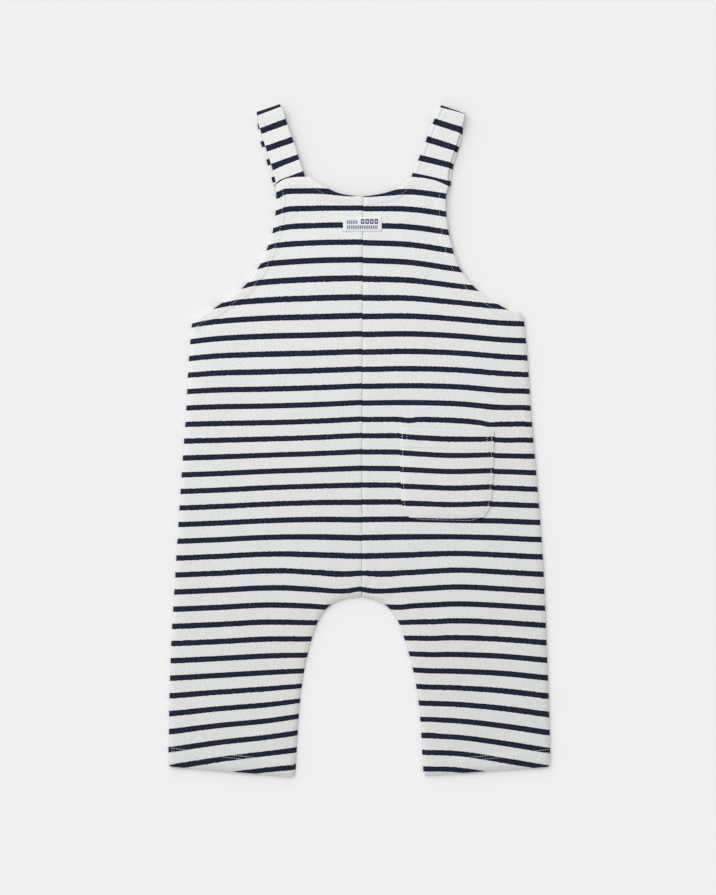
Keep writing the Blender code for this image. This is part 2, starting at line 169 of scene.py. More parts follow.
# Label, across the centre seam, its ends turned under
LABEL_WIDTH = 31.6
LABEL_HEIGHT = 11.7
LABEL_X = 2.4
LABEL_Y = 176.7
LABEL_CORNER = np.array([LABEL_X - LABEL_WIDTH / 2, LABEL_Y - LABEL_HEIGHT / 2])
LABEL_TURNING = 0.14
LABEL_TURNING_STEP = (2.2, 3.2)
LABEL_SEW = 1.3
LABEL_SEW_INSET = 0.7
LABEL_DIP = 0.12
LABEL_DIP_WIDTH = 0.4
LABEL_PRESS = 0.5
LABEL_PRESS_REACH = 0.9
LABEL_EDGE_SHARE = 0.6
LABEL_EDGE_CLEAR = 0.9
LABEL_COLUMNS = 42
LABEL_LINES = 16

# Rows of stitch and how they press the cloth: a leg's pair runs at these distances from its
# hem, at the inner edge, the middle and the outer edge. A row's span gives where its line
# starts and ends across the piece, and in how many points
LEG_ROWS = {"left": (11.2, 13.1, 15.1), "right": (10.1, 11.8, 13.5)}
LEG_ROW_SPAN = (0.008, 0.992, 25)
LEG_PAIR = 2.7
BIB_ROW = 5.4
BIB_ROW_CLEAR = 0.9
ROW_DIP = 0.16
ROW_WIDTH = 0.7
BIB_ROW_DIP = 0.26
BIB_THREAD = 0.55
SEWN_WIDTH = 0.9
OFFSET_SLACK = 0.3
FIRST_STITCH = 0.4
STITCH_FLATTEN = 0.8
STITCH_END = 0.3
STITCH_RAISE = 0.3
SHORT_STITCH = 0.75
SHORT_PITCH = 0.8

# Bar tacks at the pocket's top corners: two rows of slanted stitches each
TACK_WIDTH = 4.0
TACK_HEIGHT = 6.4
TACK_STITCHES = 4
TACK_FOOT = (-0.3, -0.4)
TACK_SLANT = (0.6, 0.9)

# The sewn edges, where the back rolls down to the front
PRESSED_EDGES = ("side", "flank", "inseam", "hem")
EDGE_PRESS = 0.4
EDGE_PRESS_REACH = 2.2
SEAM_CURL = 0.12
SEAM_CURL_WIDTH = 4.0
SEAM_ROUND = 1.1
HEM_ROUND = 0.75

# The centre seam: its allowances, its groove, the edges that meet in it and its puckers,
# which fan out at the crotch
SEAM_RIDGE = 0.06
SEAM_RIDGE_AT = 3.6
SEAM_RIDGE_WIDTH = 2.5
SEAM_GROOVE = 0.42
SEAM_GROOVE_WIDTH = 1.1
SEAM_DIP = 0.4
SEAM_DIP_WIDTH = 0.6
SEAM_MEET = 0.12
SEAM_MEET_REACH = 1.5
SEAM_MEET_START = 4.0
SEAM_PUCKER = 0.05
SEAM_PUCKER_LENGTH = 6.5
SEAM_PUCKER_REACH = 3.5
PUCKERS = 9
PUCKER_HEIGHT = 0.26
PUCKER_AT = 9.0
PUCKER_WIDTH = 7.0
PUCKER_INSET = 3.0

# The knit, from one lengthways rib to the next and from one row of loops to the next, and
# the soft rim of a stripe, in repeats
WALE = 1.0
COURSE = 0.78
STRIPE_RIM = 0.004

# The label's weave: from one thread to the next, up and across
WARP = 0.36
WEFT = 0.3

# The stage, in metres but for the sensor: the lamp, which points at the middle of the ground
# and is summed up over its cells, how the room's light leans, what the camera is over, and
# how far from the middle the ground is evened out
LAMP_PLACE = (-0.347, 0.617, 0.652)
LAMP_CELLS = 16
ROOM_LEAN = (-0.385, 0.277)
CAMERA_OVER = (-0.00118, -0.00573)
SENSOR_WIDTH = 36.0
FAR_CLIP = 20.0
GROUND_SIZE = 6.0
GROUND_DROP = 0.0003
EVEN_REACH = 0.45
EVEN_POINTS = 19
EVEN_POWERS = 5

Section = namedtuple("Section", "inner_x inner_y outer_x outer_y")
Point = namedtuple("Point", "x y")
Half = namedtuple("Half", "leg body bib neckline strap_seam")
PocketRow = namedtuple("PocketRow", "y left_x right_x")
Fold = namedtuple("Fold", "x1 y1 x2 y2 rise width")
Wave = namedtuple("Wave", "length angle height start")
Sag = namedtuple("Sag", "x y width tall drop")
StripeRow = namedtuple("StripeRow", "stripe a b c d e")
StrapCloth = namedtuple("StrapCloth", "repeat first tilt pinch")
Cut = namedtuple("Cut", "width length area")


def table(kind, *rows):
    """Rows of plain numbers as a list of one kind."""
    return [kind(*map(float, row)) for row in rows]


def half_piece(leg, body, bib, neckline, strap_seam):
    """A half whose parts run on: each but the first leaves out its first row."""
    leg = table(Section, *leg)
    body = [leg[-1], *table(Section, *body)]
    bib = [body[-1], *table(Section, *bib)]
    neckline = [Point(*bib[-1][:2]), *table(Point, *neckline)]
    strap_seam = [neckline[-1], *table(Point, *strap_seam), Point(*bib[-1][2:])]
    return Half(leg, body, bib, neckline, strap_seam)


CROTCH = Point(1.9, -127.6)
TACKS = (Point(36.6, 2.3), Point(106.2, 0.7))

LEFT = half_piece(
    leg=[
        (-53.5, -275, -156, -266.6), (-53, -263.4, -156.2, -255.2),
        (-52, -246, -155.8, -239), (-50.7, -225, -155.6, -220),
        (-48.2, -200.2, -155, -198), (-43.1, -175.4, -154.2, -174),
        (-34.6, -148.9, -153.1, -150), (-25.1, -135.5, -151.8, -130),
        (-12.1, -129.3, -150.8, -113), (1.7, -127.6, -149.9, -98),
    ],
    body=[
        (1.9, -84, -147.4, -58), (2, -38, -144.7, -18), (2.1, 10, -141.8, 22),
        (2.3, 58, -139.8, 62), (2.4, 104, -136.8, 97.4),
    ],
    bib=[
        (2.5, 124, -117.9, 108.7), (2.6, 143, -94.6, 125.8), (2.65, 157, -82.1, 142.2),
        (2.7, 169, -75.4, 156.9), (2.8, 179, -70.6, 172.4), (2.85, 187, -68.4, 187),
        (2.9, 193.5, -68, 199), (2.95, 199.7, -67.9, 209.3),
    ],
    neckline=[(-9.7, 200.7), (-19.6, 203.2), (-29.5, 208.1), (-40.6, 215.3)],
    strap_seam=[(-49.5, 215.4), (-56.8, 214.6), (-62.6, 212.9)],
)
RIGHT = half_piece(
    leg=[
        (52.6, -274, 155.9, -266.8), (51.7, -262.6, 155.9, -255.4),
        (50.9, -246, 155.6, -239), (49.5, -225, 155, -220),
        (46.4, -200.2, 154.3, -198), (40.7, -174.9, 153.3, -174),
        (31.7, -147.9, 152.4, -150), (22.6, -135.4, 151.5, -130),
        (12, -129.9, 150.8, -113), (2, -127.6, 150.1, -98),
    ],
    body=[
        (2.2, -84, 147.2, -58), (2.3, -38, 143.8, -18), (2.4, 10, 140.4, 22),
        (2.6, 58, 137.8, 62), (2.65, 98, 134.8, 95), (2.7, 104, 133.4, 102),
    ],
    bib=[
        (2.75, 110, 130.6, 104.5), (2.8, 126, 119, 108.2), (2.9, 143, 97, 122.6),
        (2.95, 157, 83.1, 138.9), (3, 169, 76.9, 153.6), (3.1, 179, 73.1, 169.2),
        (3.15, 187, 71, 184.7), (3.2, 193.5, 70.6, 198), (3.25, 199.5, 72.7, 207.9),
    ],
    neckline=[(14, 201), (24.3, 203.3), (33.2, 207.2), (39.4, 214.7)],
    strap_seam=[(46, 215.6), (54, 214.3), (63.3, 212)],
)

# The upper run of each strap, from the bib to the fold
STRAPS = {
    "left": [
        (-44.5, 216.2, -67.9, 209.8), (-49, 229.4, -71.2, 222.3), (-53.6, 243.5, -75.7, 236.6),
        (-58.6, 257.8, -80.1, 250.9), (-64, 275.3, -85.2, 268.1),
    ],
    "right": [
        (42.4, 216.1, 72, 208.8), (47.8, 228.8, 73.2, 221), (53.3, 242.7, 76.6, 233.5),
        (59.2, 257.8, 81.5, 248), (66, 274.4, 87.2, 266.8),
    ],
}

POCKET = table(
    PocketRow,
    (9.2, 32.9, 110.1), (-14, 33.1, 109.8), (-38, 34, 108.8), (-67, 34.8, 105.4),
)
POCKET_WIDTH = POCKET[0].right_x - POCKET[0].left_x

# Soft ridges (rise above 0) and troughs in the back, each along a line
FOLDS = table(
    Fold,
    (-93, 96, -93, 18, -0.55, 17), (-128, -70, -121, -215, -0.7, 15),
    (-42, -130, -56, -215, -0.25, 11), (-72, -100, -84, -230, -0.5, 18),
    (22, 14, 20, -66, -0.15, 10), (42, -150, 52, -245, 0.6, 15),
    (104, -130, 112, -236, -0.5, 22), (-24, -98, 26, -98, -0.35, 12),
)

# The number of a stripe, then the heights of its middle over five columns of a half
LEFT_STRIPES = table(
    StripeRow,
    (1, 190.1, 189.6, 187.8, 180.4, 172.7), (4, 147.7, 146.9, 144.1, 138.8, 132),
    (7, 101.9, 100.9, 99.8, 97.1, 91.6), (10, 58.4, 57, 56, 55, 52),
    (13, 17.6, 15.7, 14.5, 13.8, 12.7), (16, -22.6, -24, -25.3, -27.1, -28.5),
    (19, -64.8, -64.5, -65.6, -67.5, -69.1), (22, -109.3, -107.7, -106.6, -108.5, -110.2),
    (25, -149.5, -148.9, -148.4, -150.4, -152.1), (28, -186.3, -187.7, -189.7, -192, -194.4),
    (31, -222.7, -224, -229.2, -233, -238.2), (34, -259.5, -265.2, -269.3, -274.9, -283.1),
)
RIGHT_STRIPES = table(
    StripeRow,
    (1, 189.5, 188.8, 183.6, 178.9, 174.9), (4, 147.2, 145.4, 140, 136, 135.4),
    (7, 101.2, 101.5, 99.1, 95.8, 95.1), (10, 58, 58.6, 57.6, 54.6, 52.9),
    (13, 17.1, 17.3, 16.2, 13.3, 15.4), (16, -22.7, -23.2, -24.8, -25.5, -27.1),
    (19, -64.5, -64.3, -65.2, -65.9, -67.8), (22, -109.3, -107.8, -105.9, -107.6, -110.1),
    (25, -149.8, -148.4, -147.3, -148.8, -151.6), (28, -185, -187.4, -188.5, -190.4, -194.5),
    (31, -224.6, -227.7, -229, -233.4, -239.2), (34, -265.2, -268.1, -269.1, -275.5, -282.8),
)

# Where the first and the last column stand, and the steps in which the stripes are numbered
# and the columns crossed, both a little past their ends
STRIPE_COLUMNS = {"left": (2.49, -156.29), "right": (2.49, 157.52)}
STRIPE_NUMBERS = (-3.0, 37.0, 401)
COLUMN_PLACES = (-0.2, 4.2, 89)

# Where sewing or a fold pulls the stripes down a little
SAGS = table(
    Sag,
    (39.8, 17, 6, 7, 1.15), (106.8, 16, 6, 7, 1.15), (-19.8, -117, 11, 10, 1.1),
    (2, -114, 6, 14, -0.8), (21, -115, 11, 10, 0.9), (33, -137, 8, 7, 0.9),
    (-28, -136, 8, 6, 0.6), (3, -123, 7, 6, -0.5), (-1, -124, 6.5, 6, -1.1),
    (12, -108, 13, 6, -0.4), (-58, -112, 13, 20, -0.4), (60, -162, 9, 32, 0.45),
    (57, -236, 8, 9, -0.9), (-46, -188, 7, 30, 0.3), (-148, -262, 14, 9, -0.5),
    (148, -76, 8, 60, -0.3), (-66, 196, 5, 9, 2.2), (-69, 177, 9, 13, 1.3),
    (0, 201, 20, 6, 3.2), (-1, 200, 4.5, 4, -0.9), (-20, 203, 12, 6, 0.4),
    (24, 203, 12, 6, 1.2), (140, 16, 5, 20, 1.1),
)
HEM_SAG = {"left": 1.2, "right": 0.1}

# How the pocket's stripes lie lower than the back's: at its inner edge, at the bottom and at
# the top, in its middle, and from its middle to its outer edge
POCKET_SHIFT = (0.8, 0.35)
POCKET_SHIFT_RISE = (-50.0, 0.0)
POCKET_BULGE = (0.45, 1.1)
POCKET_BULGE_RISE = (-30.0, 0.0)
POCKET_EDGE_SHIFT = 0.75
POCKET_EDGE_START = 0.45

# Where a strap's stripes lie; its last few millimetres before the seam are pinched
STRAP_CLOTH = {
    "left": StrapCloth(15.3, 2.2, -0.8, 1.2),
    "right": StrapCloth(15.5, 0.5, 2.2, 0.6),
}
STRAP_PINCH_RISE = (45.0, 55.0)
STRAP_PINCH_TURN = 1.9

# The slight rise and fall of cloth smoothed out by hand
WAVES = table(
    Wave,
    (63, 0.3, 0.10, 0.4), (41, 1.9, 0.07, 2.1), (34, 1.2, 0.06, 4),
    (27, 2.6, 0.05, 1), (19, 0.8, 0.025, 3), (15, 2.2, 0.02, 5.2),
)


def smooth(rows, at):
    """Points of a smooth curve through rows; at counts in rows, and the ends run on."""
    values = np.array(rows, float)
    slope = np.gradient(values, axis=0)
    at = np.asarray(at, float)
    inside = np.clip(at, 0, len(values) - 1)
    low = np.clip(np.floor(inside).astype(int), 0, len(values) - 2)
    part = (inside - low)[:, None]
    ease = part * part * (3 - 2 * part)
    leave = part * (1 - part) ** 2
    arrive = -(part**2) * (1 - part)
    ends = values[low] * (1 - ease) + values[low + 1] * ease
    curve = ends + slope[low] * leave + slope[low + 1] * arrive
    past = (at - inside)[:, None]
    return curve + np.where(past < 0, slope[0], slope[-1]) * past


def ramp(value, start, end):
    """0 up to start, 1 from end on, with a soft turn at both."""
    part = np.clip((np.asarray(value, float) - start) / (end - start), 0.0, 1.0)
    return part * part * (3 - 2 * part)


def hump(far, width):
    """A soft hump: 1 on a line, fading over a width to both sides of it."""
    return np.exp(-((far / width) ** 2))


def from_line(x, y, line):
    """How far each point lies from a line of points."""
    best = np.full(np.shape(x), np.inf)
    for (ax, ay), (bx, by) in zip(line[:-1], line[1:]):
        run_x, run_y = bx - ax, by - ay
        long = max(run_x**2 + run_y**2, TINY)
        part = np.clip(((x - ax) * run_x + (y - ay) * run_y) / long, 0.0, 1.0)
        best = np.minimum(best, np.hypot(x - ax - part * run_x, y - ay - part * run_y))
    return best


def steps_along(rows, spacing):
    """Steps from the first row to the last, at most about one spacing apart."""
    points = np.array(rows, float)
    steps = [np.zeros(1)]
    for i, move in enumerate(np.diff(points, axis=0)):
        gap = max(np.hypot(*move[k : k + 2]) for k in range(0, len(move), 2))
        count = max(1, math.ceil(gap / spacing))
        steps.append(i + np.arange(1, count + 1) / count)
    return np.concatenate(steps)


def top_line(half):
    """A half's neckline and strap seam, from the centre to the armhole."""
    steps = np.linspace(0, len(half.neckline) - 1, TOP_POINTS)
    return np.vstack([smooth(half.neckline, steps), smooth(half.strap_seam, steps[1:])])


def top_edge(half, x):
    """The height of a half's neckline and strap seam at x."""
    line = top_line(half)
    across = np.abs(line[:, 0] - line[0, 0])
    return np.interp(np.abs(x - line[0, 0]), across, line[:, 1])


def edge_lines(half):
    """The named edges of a half, as lines of points."""
    lines = {}
    for name, rows, first in (
        ("inseam", half.leg, 0),
        ("side", half.leg, 2),
        ("flank", half.body, 2),
        ("centre", [*half.body, *half.bib[1:]], 0),
        ("armhole", half.bib, 2),
    ):
        steps = np.linspace(0, len(rows) - 1, (len(rows) - 1) * LINE_STEPS + 1)
        lines[name] = smooth([row[first : first + 2] for row in rows], steps)
    inner, outer = (np.array(half.leg[0][k : k + 2]) for k in (0, 2))
    along = (outer - inner) / np.linalg.norm(outer - inner)
    turn = np.linspace(0, math.pi / 2, ARC_POINTS)[:, None]
    arcs = []
    for name, corner, inward in (("inseam", inner, along), ("side", outer, -along)):
        up = lines[name][1] - corner
        up /= np.linalg.norm(up)
        climb, reach = HEM_CORNER * (1 - np.sin(turn)), HEM_CORNER * (1 - np.cos(turn))
        arcs.append(corner + up * climb + inward * reach)
        lines[name] = np.vstack([arcs[-1][0], lines[name][2:]])
    lines["hem"] = np.vstack([arcs[0], arcs[1][::-1]])
    top = top_line(half)
    lines["neck"], lines["strap"] = top[:TOP_POINTS], top[TOP_POINTS - 1 :]
    return lines


def front_of(side):
    """The cut of one half of the front, which reaches past the back in two places."""
    half = HALVES[side]
    leg, bib = list(half.leg), list(half.bib)
    if side == "left":
        for i, row in enumerate(leg):
            peek = INSEAM_PEEK * float(ramp(INSEAM_PEEK_END - i, 0, INSEAM_PEEK_FADE))
            leg[i] = row._replace(inner_x=row.inner_x + peek)
    else:
        bib = [row._replace(outer_x=row.outer_x + peek) for row, peek in zip(bib, ARMHOLE_PEEK)]
    hem = leg[0]
    leg[0] = hem._replace(
        inner_y=hem.inner_y + FRONT_HEM_RISE, outer_y=hem.outer_y + FRONT_HEM_RISE
    )
    return half._replace(leg=leg, bib=bib)


HALVES = {"left": LEFT, "right": RIGHT}
EDGES = {side: edge_lines(half) for side, half in HALVES.items()}
FRONT_EDGES = {side: edge_lines(front_of(side)) for side in HALVES}


def lay_out(half, ends, bend, across):
    """Points of the cloth: across is the share from the inner to the outer edge."""
    x = ends[..., 0] * (1 - across) + ends[..., 2] * across
    y = ends[..., 1] * (1 - across) + ends[..., 3] * across
    neck_x, strap_x = half.bib[-1].inner_x, half.bib[-1].outer_x
    top_x = neck_x + (strap_x - neck_x) * across
    straight = half.bib[-1].inner_y * (1 - across) + half.bib[-1].outer_y * across
    return x, y + bend[:, None] * (top_edge(half, top_x) - straight)


def slant(ends, columns):
    """How squarely the sections meet an edge: the sine of the angle between them."""
    edge = np.gradient(ends[:, columns], axis=0)
    row = ends[:, 2:4] - ends[:, 0:2]
    cross = np.abs(edge[:, 0] * row[:, 1] - edge[:, 1] * row[:, 0])
    length = np.hypot(edge[:, 0], edge[:, 1]) * np.hypot(row[:, 0], row[:, 1])
    return np.clip(cross / np.maximum(length, TINY), LEAST_SLANT, 1.0)


def round_corners(half, ends, across, width, up):
    """Draws the grid in to a quarter circle at each corner of the leg hem.

    up counts down from 1 at the hem to 0 where its corners end.
    """
    moved = ends[:, None, :] * np.ones((1, across.shape[1], 1))
    for from_edge, flip in ((across * width, False), ((1 - across) * width, True)):
        aside = np.clip(1 - from_edge / HEM_CORNER, 0, 1)
        drawn_aside = aside * np.sqrt(1 - up**2 / 2)
        drawn_up = up * np.sqrt(1 - aside**2 / 2)
        step = (aside - drawn_aside) * HEM_CORNER / width
        across = across - step if flip else across + step
        climb = (up - drawn_up)[..., None] * HEM_CORNER / LEG_HEM
        moved = moved + climb * (np.array(half.leg[1]) - np.array(half.leg[0]))
    return moved, across


def cut_grid(half, spacing, drop=0.0):
    """Points all over a half, closer together beside its edges."""
    edge = np.array(EDGE_STEPS)
    clear = edge[-1] + EDGE_CLEAR
    top = len(half.bib) - 1 - drop
    last = half.bib[-1].outer_y - half.bib[-2].outer_y
    leg = steps_along(half.leg, spacing)
    leg = np.concatenate([edge / LEG_HEM, leg[leg * LEG_HEM > clear]])
    bib = steps_along(half.bib, spacing)[1:]
    bib = np.concatenate([bib[(top - bib) * last > clear], top - edge[::-1] / last])
    zones = {"leg": leg, "body": steps_along(half.body, spacing)[1:], "bib": bib}
    ends = np.vstack([smooth(getattr(half, zone), at) for zone, at in zones.items()])
    at = np.concatenate(list(zones.values()))
    zone = np.repeat(list(zones), [len(steps) for steps in zones.values()])
    bend = ramp(at, BEND_START, top - BEND_FULL) * (zone == "bib")

    width = np.hypot(ends[:, 2] - ends[:, 0], ends[:, 3] - ends[:, 1])[:, None]
    inner = edge / slant(ends, [0, 1])[:, None] / width
    outer = 1 - edge[::-1] / slant(ends, [2, 3])[:, None] / width
    count = math.ceil(width.max() / spacing)
    share = np.linspace(0, 1, count + 1)[1:-1]
    between = inner[:, -1:] + (outer[:, :1] - inner[:, -1:]) * share
    across = np.hstack([inner, between, outer])

    up = 1 - np.where(zone == "leg", at * LEG_HEM / HEM_CORNER, 1.0)
    moved, across = round_corners(half, ends, across, width, np.clip(up, 0, 1)[:, None])
    return lay_out(half, moved, bend, across)


def folds(x, y):
    """The soft ridges and troughs of the back."""
    total = np.zeros(np.shape(x))
    for fold in FOLDS:
        run_x, run_y = fold.x2 - fold.x1, fold.y2 - fold.y1
        long = math.hypot(run_x, run_y)
        along = ((x - fold.x1) * run_x + (y - fold.y1) * run_y) / long
        aside = ((x - fold.x1) * run_y - (y - fold.y1) * run_x) / long
        reach = FOLD_FADE * long
        fade = ramp(along, -reach, reach) * (1 - ramp(along, long - reach, long + reach))
        total += fold.rise * fade * hump(aside, fold.width)
    return total


def pressed(far):
    """How much of its thickness cloth keeps this far from its pressed edge."""
    return 1 - EDGE_PRESS * hump(far, EDGE_PRESS_REACH)


def front_top(x, y):
    """The height of the front's upper face."""
    far = np.full(np.shape(x), np.inf)
    for edges in FRONT_EDGES.values():
        for name, line in edges.items():
            if name in PRESSED_EDGES:
                far = np.minimum(far, from_line(x, y, line))
    return CLOTH_WALL * pressed(far)


def waves(x, y):
    """The slight rise and fall all over the cloth."""
    total = 0
    for wave in WAVES:
        along = x * math.cos(wave.angle) + y * math.sin(wave.angle)
        total = total + wave.height * np.sin(2 * math.pi * along / wave.length + wave.start)
    return total


def back_underside(x, y):
    """The height of the back's underside over the surface."""
    inside = np.full(np.shape(x), np.inf)
    lift = np.zeros(np.shape(x))
    for edges in EDGES.values():
        for name, line in edges.items():
            if name != "centre":
                inside = np.minimum(inside, from_line(x, y, line))
        far = from_line(x, y, edges["strap"])
        lift += BIB_LIFT * (1 - ramp(far, BIB_LIFT_FULL, BIB_LIFT_END))
    puff = PUFF * (1 - np.exp(-inside / PUFF_REACH))
    creases = (folds(x, y) + waves(x, y)) * (1 - np.exp(-inside / FOLD_REACH))
    return front_top(x, y) + SEAM_GAP + puff + creases + lift


def turned(far, radius):
    """How far a rounded edge has turned down: 1 at the edge, 0 from its radius in."""
    left = 1 - np.clip(far / radius, 0.0, 1.0)
    return 1 - np.sqrt(1 - left**2)


def row_of_leg(side, share):
    """How far a leg's pair of rows runs from its hem, at a share of the way across it."""
    return np.interp(share, (0.0, 0.5, 1.0), LEG_ROWS[side])


def centre_seam(x, y, far_from_centre, far_from_seam):
    """Heights of the centre seam's allowances, its groove and its puckers."""
    allowance = SEAM_RIDGE * hump(far_from_centre - SEAM_RIDGE_AT, SEAM_RIDGE_WIDTH)
    groove = SEAM_GROOVE * hump(far_from_centre, SEAM_GROOVE_WIDTH)
    crotch_x, crotch_y = x - CROTCH.x, y - CROTCH.y
    fan = np.cos(PUCKERS * np.arctan2(crotch_y, crotch_x))
    pucker = PUCKER_HEIGHT * fan * hump(np.hypot(crotch_x, crotch_y) - PUCKER_AT, PUCKER_WIDTH)
    gathers = SEAM_PUCKER * np.sin(2 * math.pi * y / SEAM_PUCKER_LENGTH)
    gathers = gathers * np.exp(-far_from_centre / SEAM_PUCKER_REACH)
    return allowance, groove, (pucker + gathers) * ramp(far_from_seam, 0.0, PUCKER_INSET)


def back_faces(side, x, y):
    """Heights of the lower and upper face of a back half."""
    far = {name: from_line(x, y, line) for name, line in EDGES[side].items()}
    seam = np.minimum(np.minimum(far["side"], far["flank"]), far["inseam"])
    hem = np.minimum(np.minimum(far["neck"], far["strap"]), far["armhole"])

    leg_hem = HALVES[side].leg[0]
    share = (x - leg_hem.inner_x) / (leg_hem.outer_x - leg_hem.inner_x)
    past_rows = far["hem"] - row_of_leg(side, share)
    leg_turning = HEM_EXTRA * (1 - ramp(past_rows, *LEG_STEP))
    bib_turning = BIB_HEM_EXTRA * (1 - ramp(hem, *BIB_STEP))
    wall = CLOTH_WALL + np.maximum(leg_turning, bib_turning)
    wall *= pressed(np.minimum(seam, far["hem"]))
    for past in (past_rows - LEG_PAIR / 2, past_rows + LEG_PAIR / 2):
        wall -= ROW_DIP * hump(past, ROW_WIDTH)
    wall -= BIB_ROW_DIP * hump(hem - BIB_ROW, SEWN_WIDTH)

    curl = SEAM_CURL * (1 - ramp(seam, 0.0, SEAM_CURL_WIDTH))
    allowance, groove, puckers = centre_seam(x, y, far["centre"], seam)
    lie = back_underside(x, y) - curl + allowance - groove + puckers

    round_seam = turned(seam, SEAM_ROUND)
    round_hem = turned(np.minimum(far["hem"], hem), HEM_ROUND)
    edge = np.maximum(round_seam, round_hem) * EDGE_SHARE
    dip = turned(far["centre"], SEAM_DIP_WIDTH) * SEAM_DIP
    return lie + wall * edge, lie + wall * (1 - np.maximum(edge, dip))


def on_back(x, y, side="right"):
    """The height of a back half's upper face."""
    return back_faces(side, x, y)[1]


def stripe_number(side, x, y):
    """The stripe that each point of a half lies on, counted down from the neck."""
    rows = {"left": LEFT_STRIPES, "right": RIGHT_STRIPES}[side]
    first, last = STRIPE_COLUMNS[side]
    numbers, places = np.linspace(*STRIPE_NUMBERS), np.linspace(*COLUMN_PLACES)
    step = rows[1].stripe - rows[0].stripe
    heights = smooth([row[1:] for row in rows], (numbers - rows[0].stripe) / step)
    lines = smooth(heights.T, places)
    at = (x - first) / (last - first) * (len(heights.T) - 1)
    at = np.clip(at, places[0], places[-1] - 1e-6)
    column = (at - places[0]) / (places[1] - places[0])
    low = np.floor(column).astype(int)
    part = column - low
    found = np.zeros(np.shape(x))
    for k in np.unique(low):
        here = low == k
        a, b = (np.interp(-y[here], -lines[c], numbers) for c in (k, k + 1))
        found[here] = a * (1 - part[here]) + b * part[here]
    for sag in SAGS:
        near = np.exp(-(((x - sag.x) / sag.width) ** 2) - ((y - sag.y) / sag.tall) ** 2)
        found -= sag.drop / REPEAT * near
    armhole = from_line(x, y, EDGES[side]["armhole"])
    return found - HEM_SAG[side] / REPEAT * (1 - ramp(armhole, 0.0, BIB_HEM))


def cloth_map(side, x, y):
    """The map of a half: across in stripe repeats, and the stripes' numbers."""
    return np.stack([x / REPEAT, stripe_number(side, x, y)], axis=-1)


def link_piece(name, points, faces):
    """A new piece of the garment, from its points in metres and its faces."""
    mesh = bpy.data.meshes.new(name)
    mesh.from_pydata(points.tolist(), [], faces)
    mesh.shade_smooth()
    piece = bpy.data.objects.new(name, mesh)
    bpy.context.scene.collection.objects.link(piece)
    return piece


def add_shell(name, upper, lower, places):
    """A closed piece of cloth between two grids of points, with its map."""
    rows, columns = upper.shape[:2]
    count = rows * columns
    number = np.arange(count).reshape(rows, columns)
    corners = number[:-1, :-1], number[:-1, 1:], number[1:, 1:], number[1:, :-1]
    quads = np.stack(corners, axis=-1).reshape(-1, 4)
    loop = np.concatenate([number[0], number[1:, -1], number[-1, -2::-1], number[-2:0:-1, 0]])
    ahead = np.roll(loop, -1)
    rim = np.column_stack([ahead, loop, loop + count, ahead + count])
    faces = np.vstack([quads, quads[:, ::-1] + count, rim])
    points = np.vstack([upper.reshape(-1, 3), lower.reshape(-1, 3)]) * MM
    a, b, c, d = (points[faces[:, k]] for k in range(4))
    if (np.cross(a, b) * c).sum() + (np.cross(a, c) * d).sum() < 0:
        faces = faces[:, ::-1]
    piece = link_piece(name, points, faces.tolist())
    flat = np.vstack([places.reshape(-1, 2)] * 2)
    piece.data.uv_layers.new(name=MAP)
    piece.data.uv_layers[MAP].data.foreach_set("uv", flat[faces.ravel()].ravel())
    return piece


def add_cloth(name, x, y, heights, places):
    """A closed piece of cloth over places x, y, with its lower and upper heights."""
    lower, upper = (np.stack([x, y, z], axis=-1) for z in heights)
    return add_shell(name, upper, lower, places)


def add_back(side, spacing):
    """One half of the back, from bib to leg hem; its edge meets the other's in the seam."""
    x, y = cut_grid(HALVES[side], spacing)
    meet = SEAM_MEET * (1 if x[0, 0] > x[0, -1] else -1)
    in_seam = y[:, :1] > CROTCH.y + SEAM_MEET_START
    shut = x + meet * in_seam * np.exp(-np.abs(x - x[:, :1]) / SEAM_MEET_REACH)
    faces = back_faces(side, x, y)
    return add_cloth(f"dress_back_{side}", shut, y, faces, cloth_map(side, x, y))


def add_front(side, spacing):
    """One half of the front, flat on the surface, its bib cut a little lower."""
    x, y = cut_grid(front_of(side), spacing, FRONT_DROP)
    legs = y[:, 0] < CROTCH.y
    border = [(x[0], y[0]), (x[-1], y[-1]), (x[:, -1], y[:, -1]), (x[legs, 0], y[legs, 0])]
    edge = np.minimum.reduce([from_line(x, y, np.column_stack(line)) for line in border])
    edge = np.minimum(edge, np.hypot(x - x[-1, 0], y - y[-1, 0]))
    top = front_top(x, y)
    edge = turned(edge, HEM_ROUND) * EDGE_SHARE * top
    places = cloth_map(side, x, y)
    if side == "right":
        bound = from_line(x, y, EDGES[side]["armhole"]) < FRONT_BINDING
        places[bound, 1] = PLAIN
    return add_cloth(f"dress_front_{side}", x, y, (edge, top - edge), places)


def strap_runs(side):
    """A strap's upper and lower run, as rows of two ends, and how far each is from the fold."""
    rows = np.array(STRAPS[side], float)
    middle = (rows[:, :2] + rows[:, 2:]) / 2
    ahead = (middle[-1] - middle[-2]) / np.linalg.norm(middle[-1] - middle[-2])
    rows[-1] -= np.tile(ahead, 2) * (STRAP_FOLD_RADIUS + STRAP_WALL / 2)
    even = np.linspace(STRAP_EVEN_START, len(rows) - 1, STRAP_STEPS)
    up = smooth(rows, np.concatenate([STRAP_FIRST_STEPS, even]))
    outward = up[:, 2:] - up[:, :2]
    outward /= np.linalg.norm(outward, axis=1)[:, None]
    centres = (up[:, :2] + up[:, 2:]) / 2
    to_fold = np.linalg.norm(centres - centres[-1], axis=1)
    slip = STRAP_SLIP * ramp(to_fold, 0, STRAP_SLIP_LENGTH)
    down = (up + np.tile(outward * slip[:, None], 2))[::-1]
    return up, down, to_fold, ahead


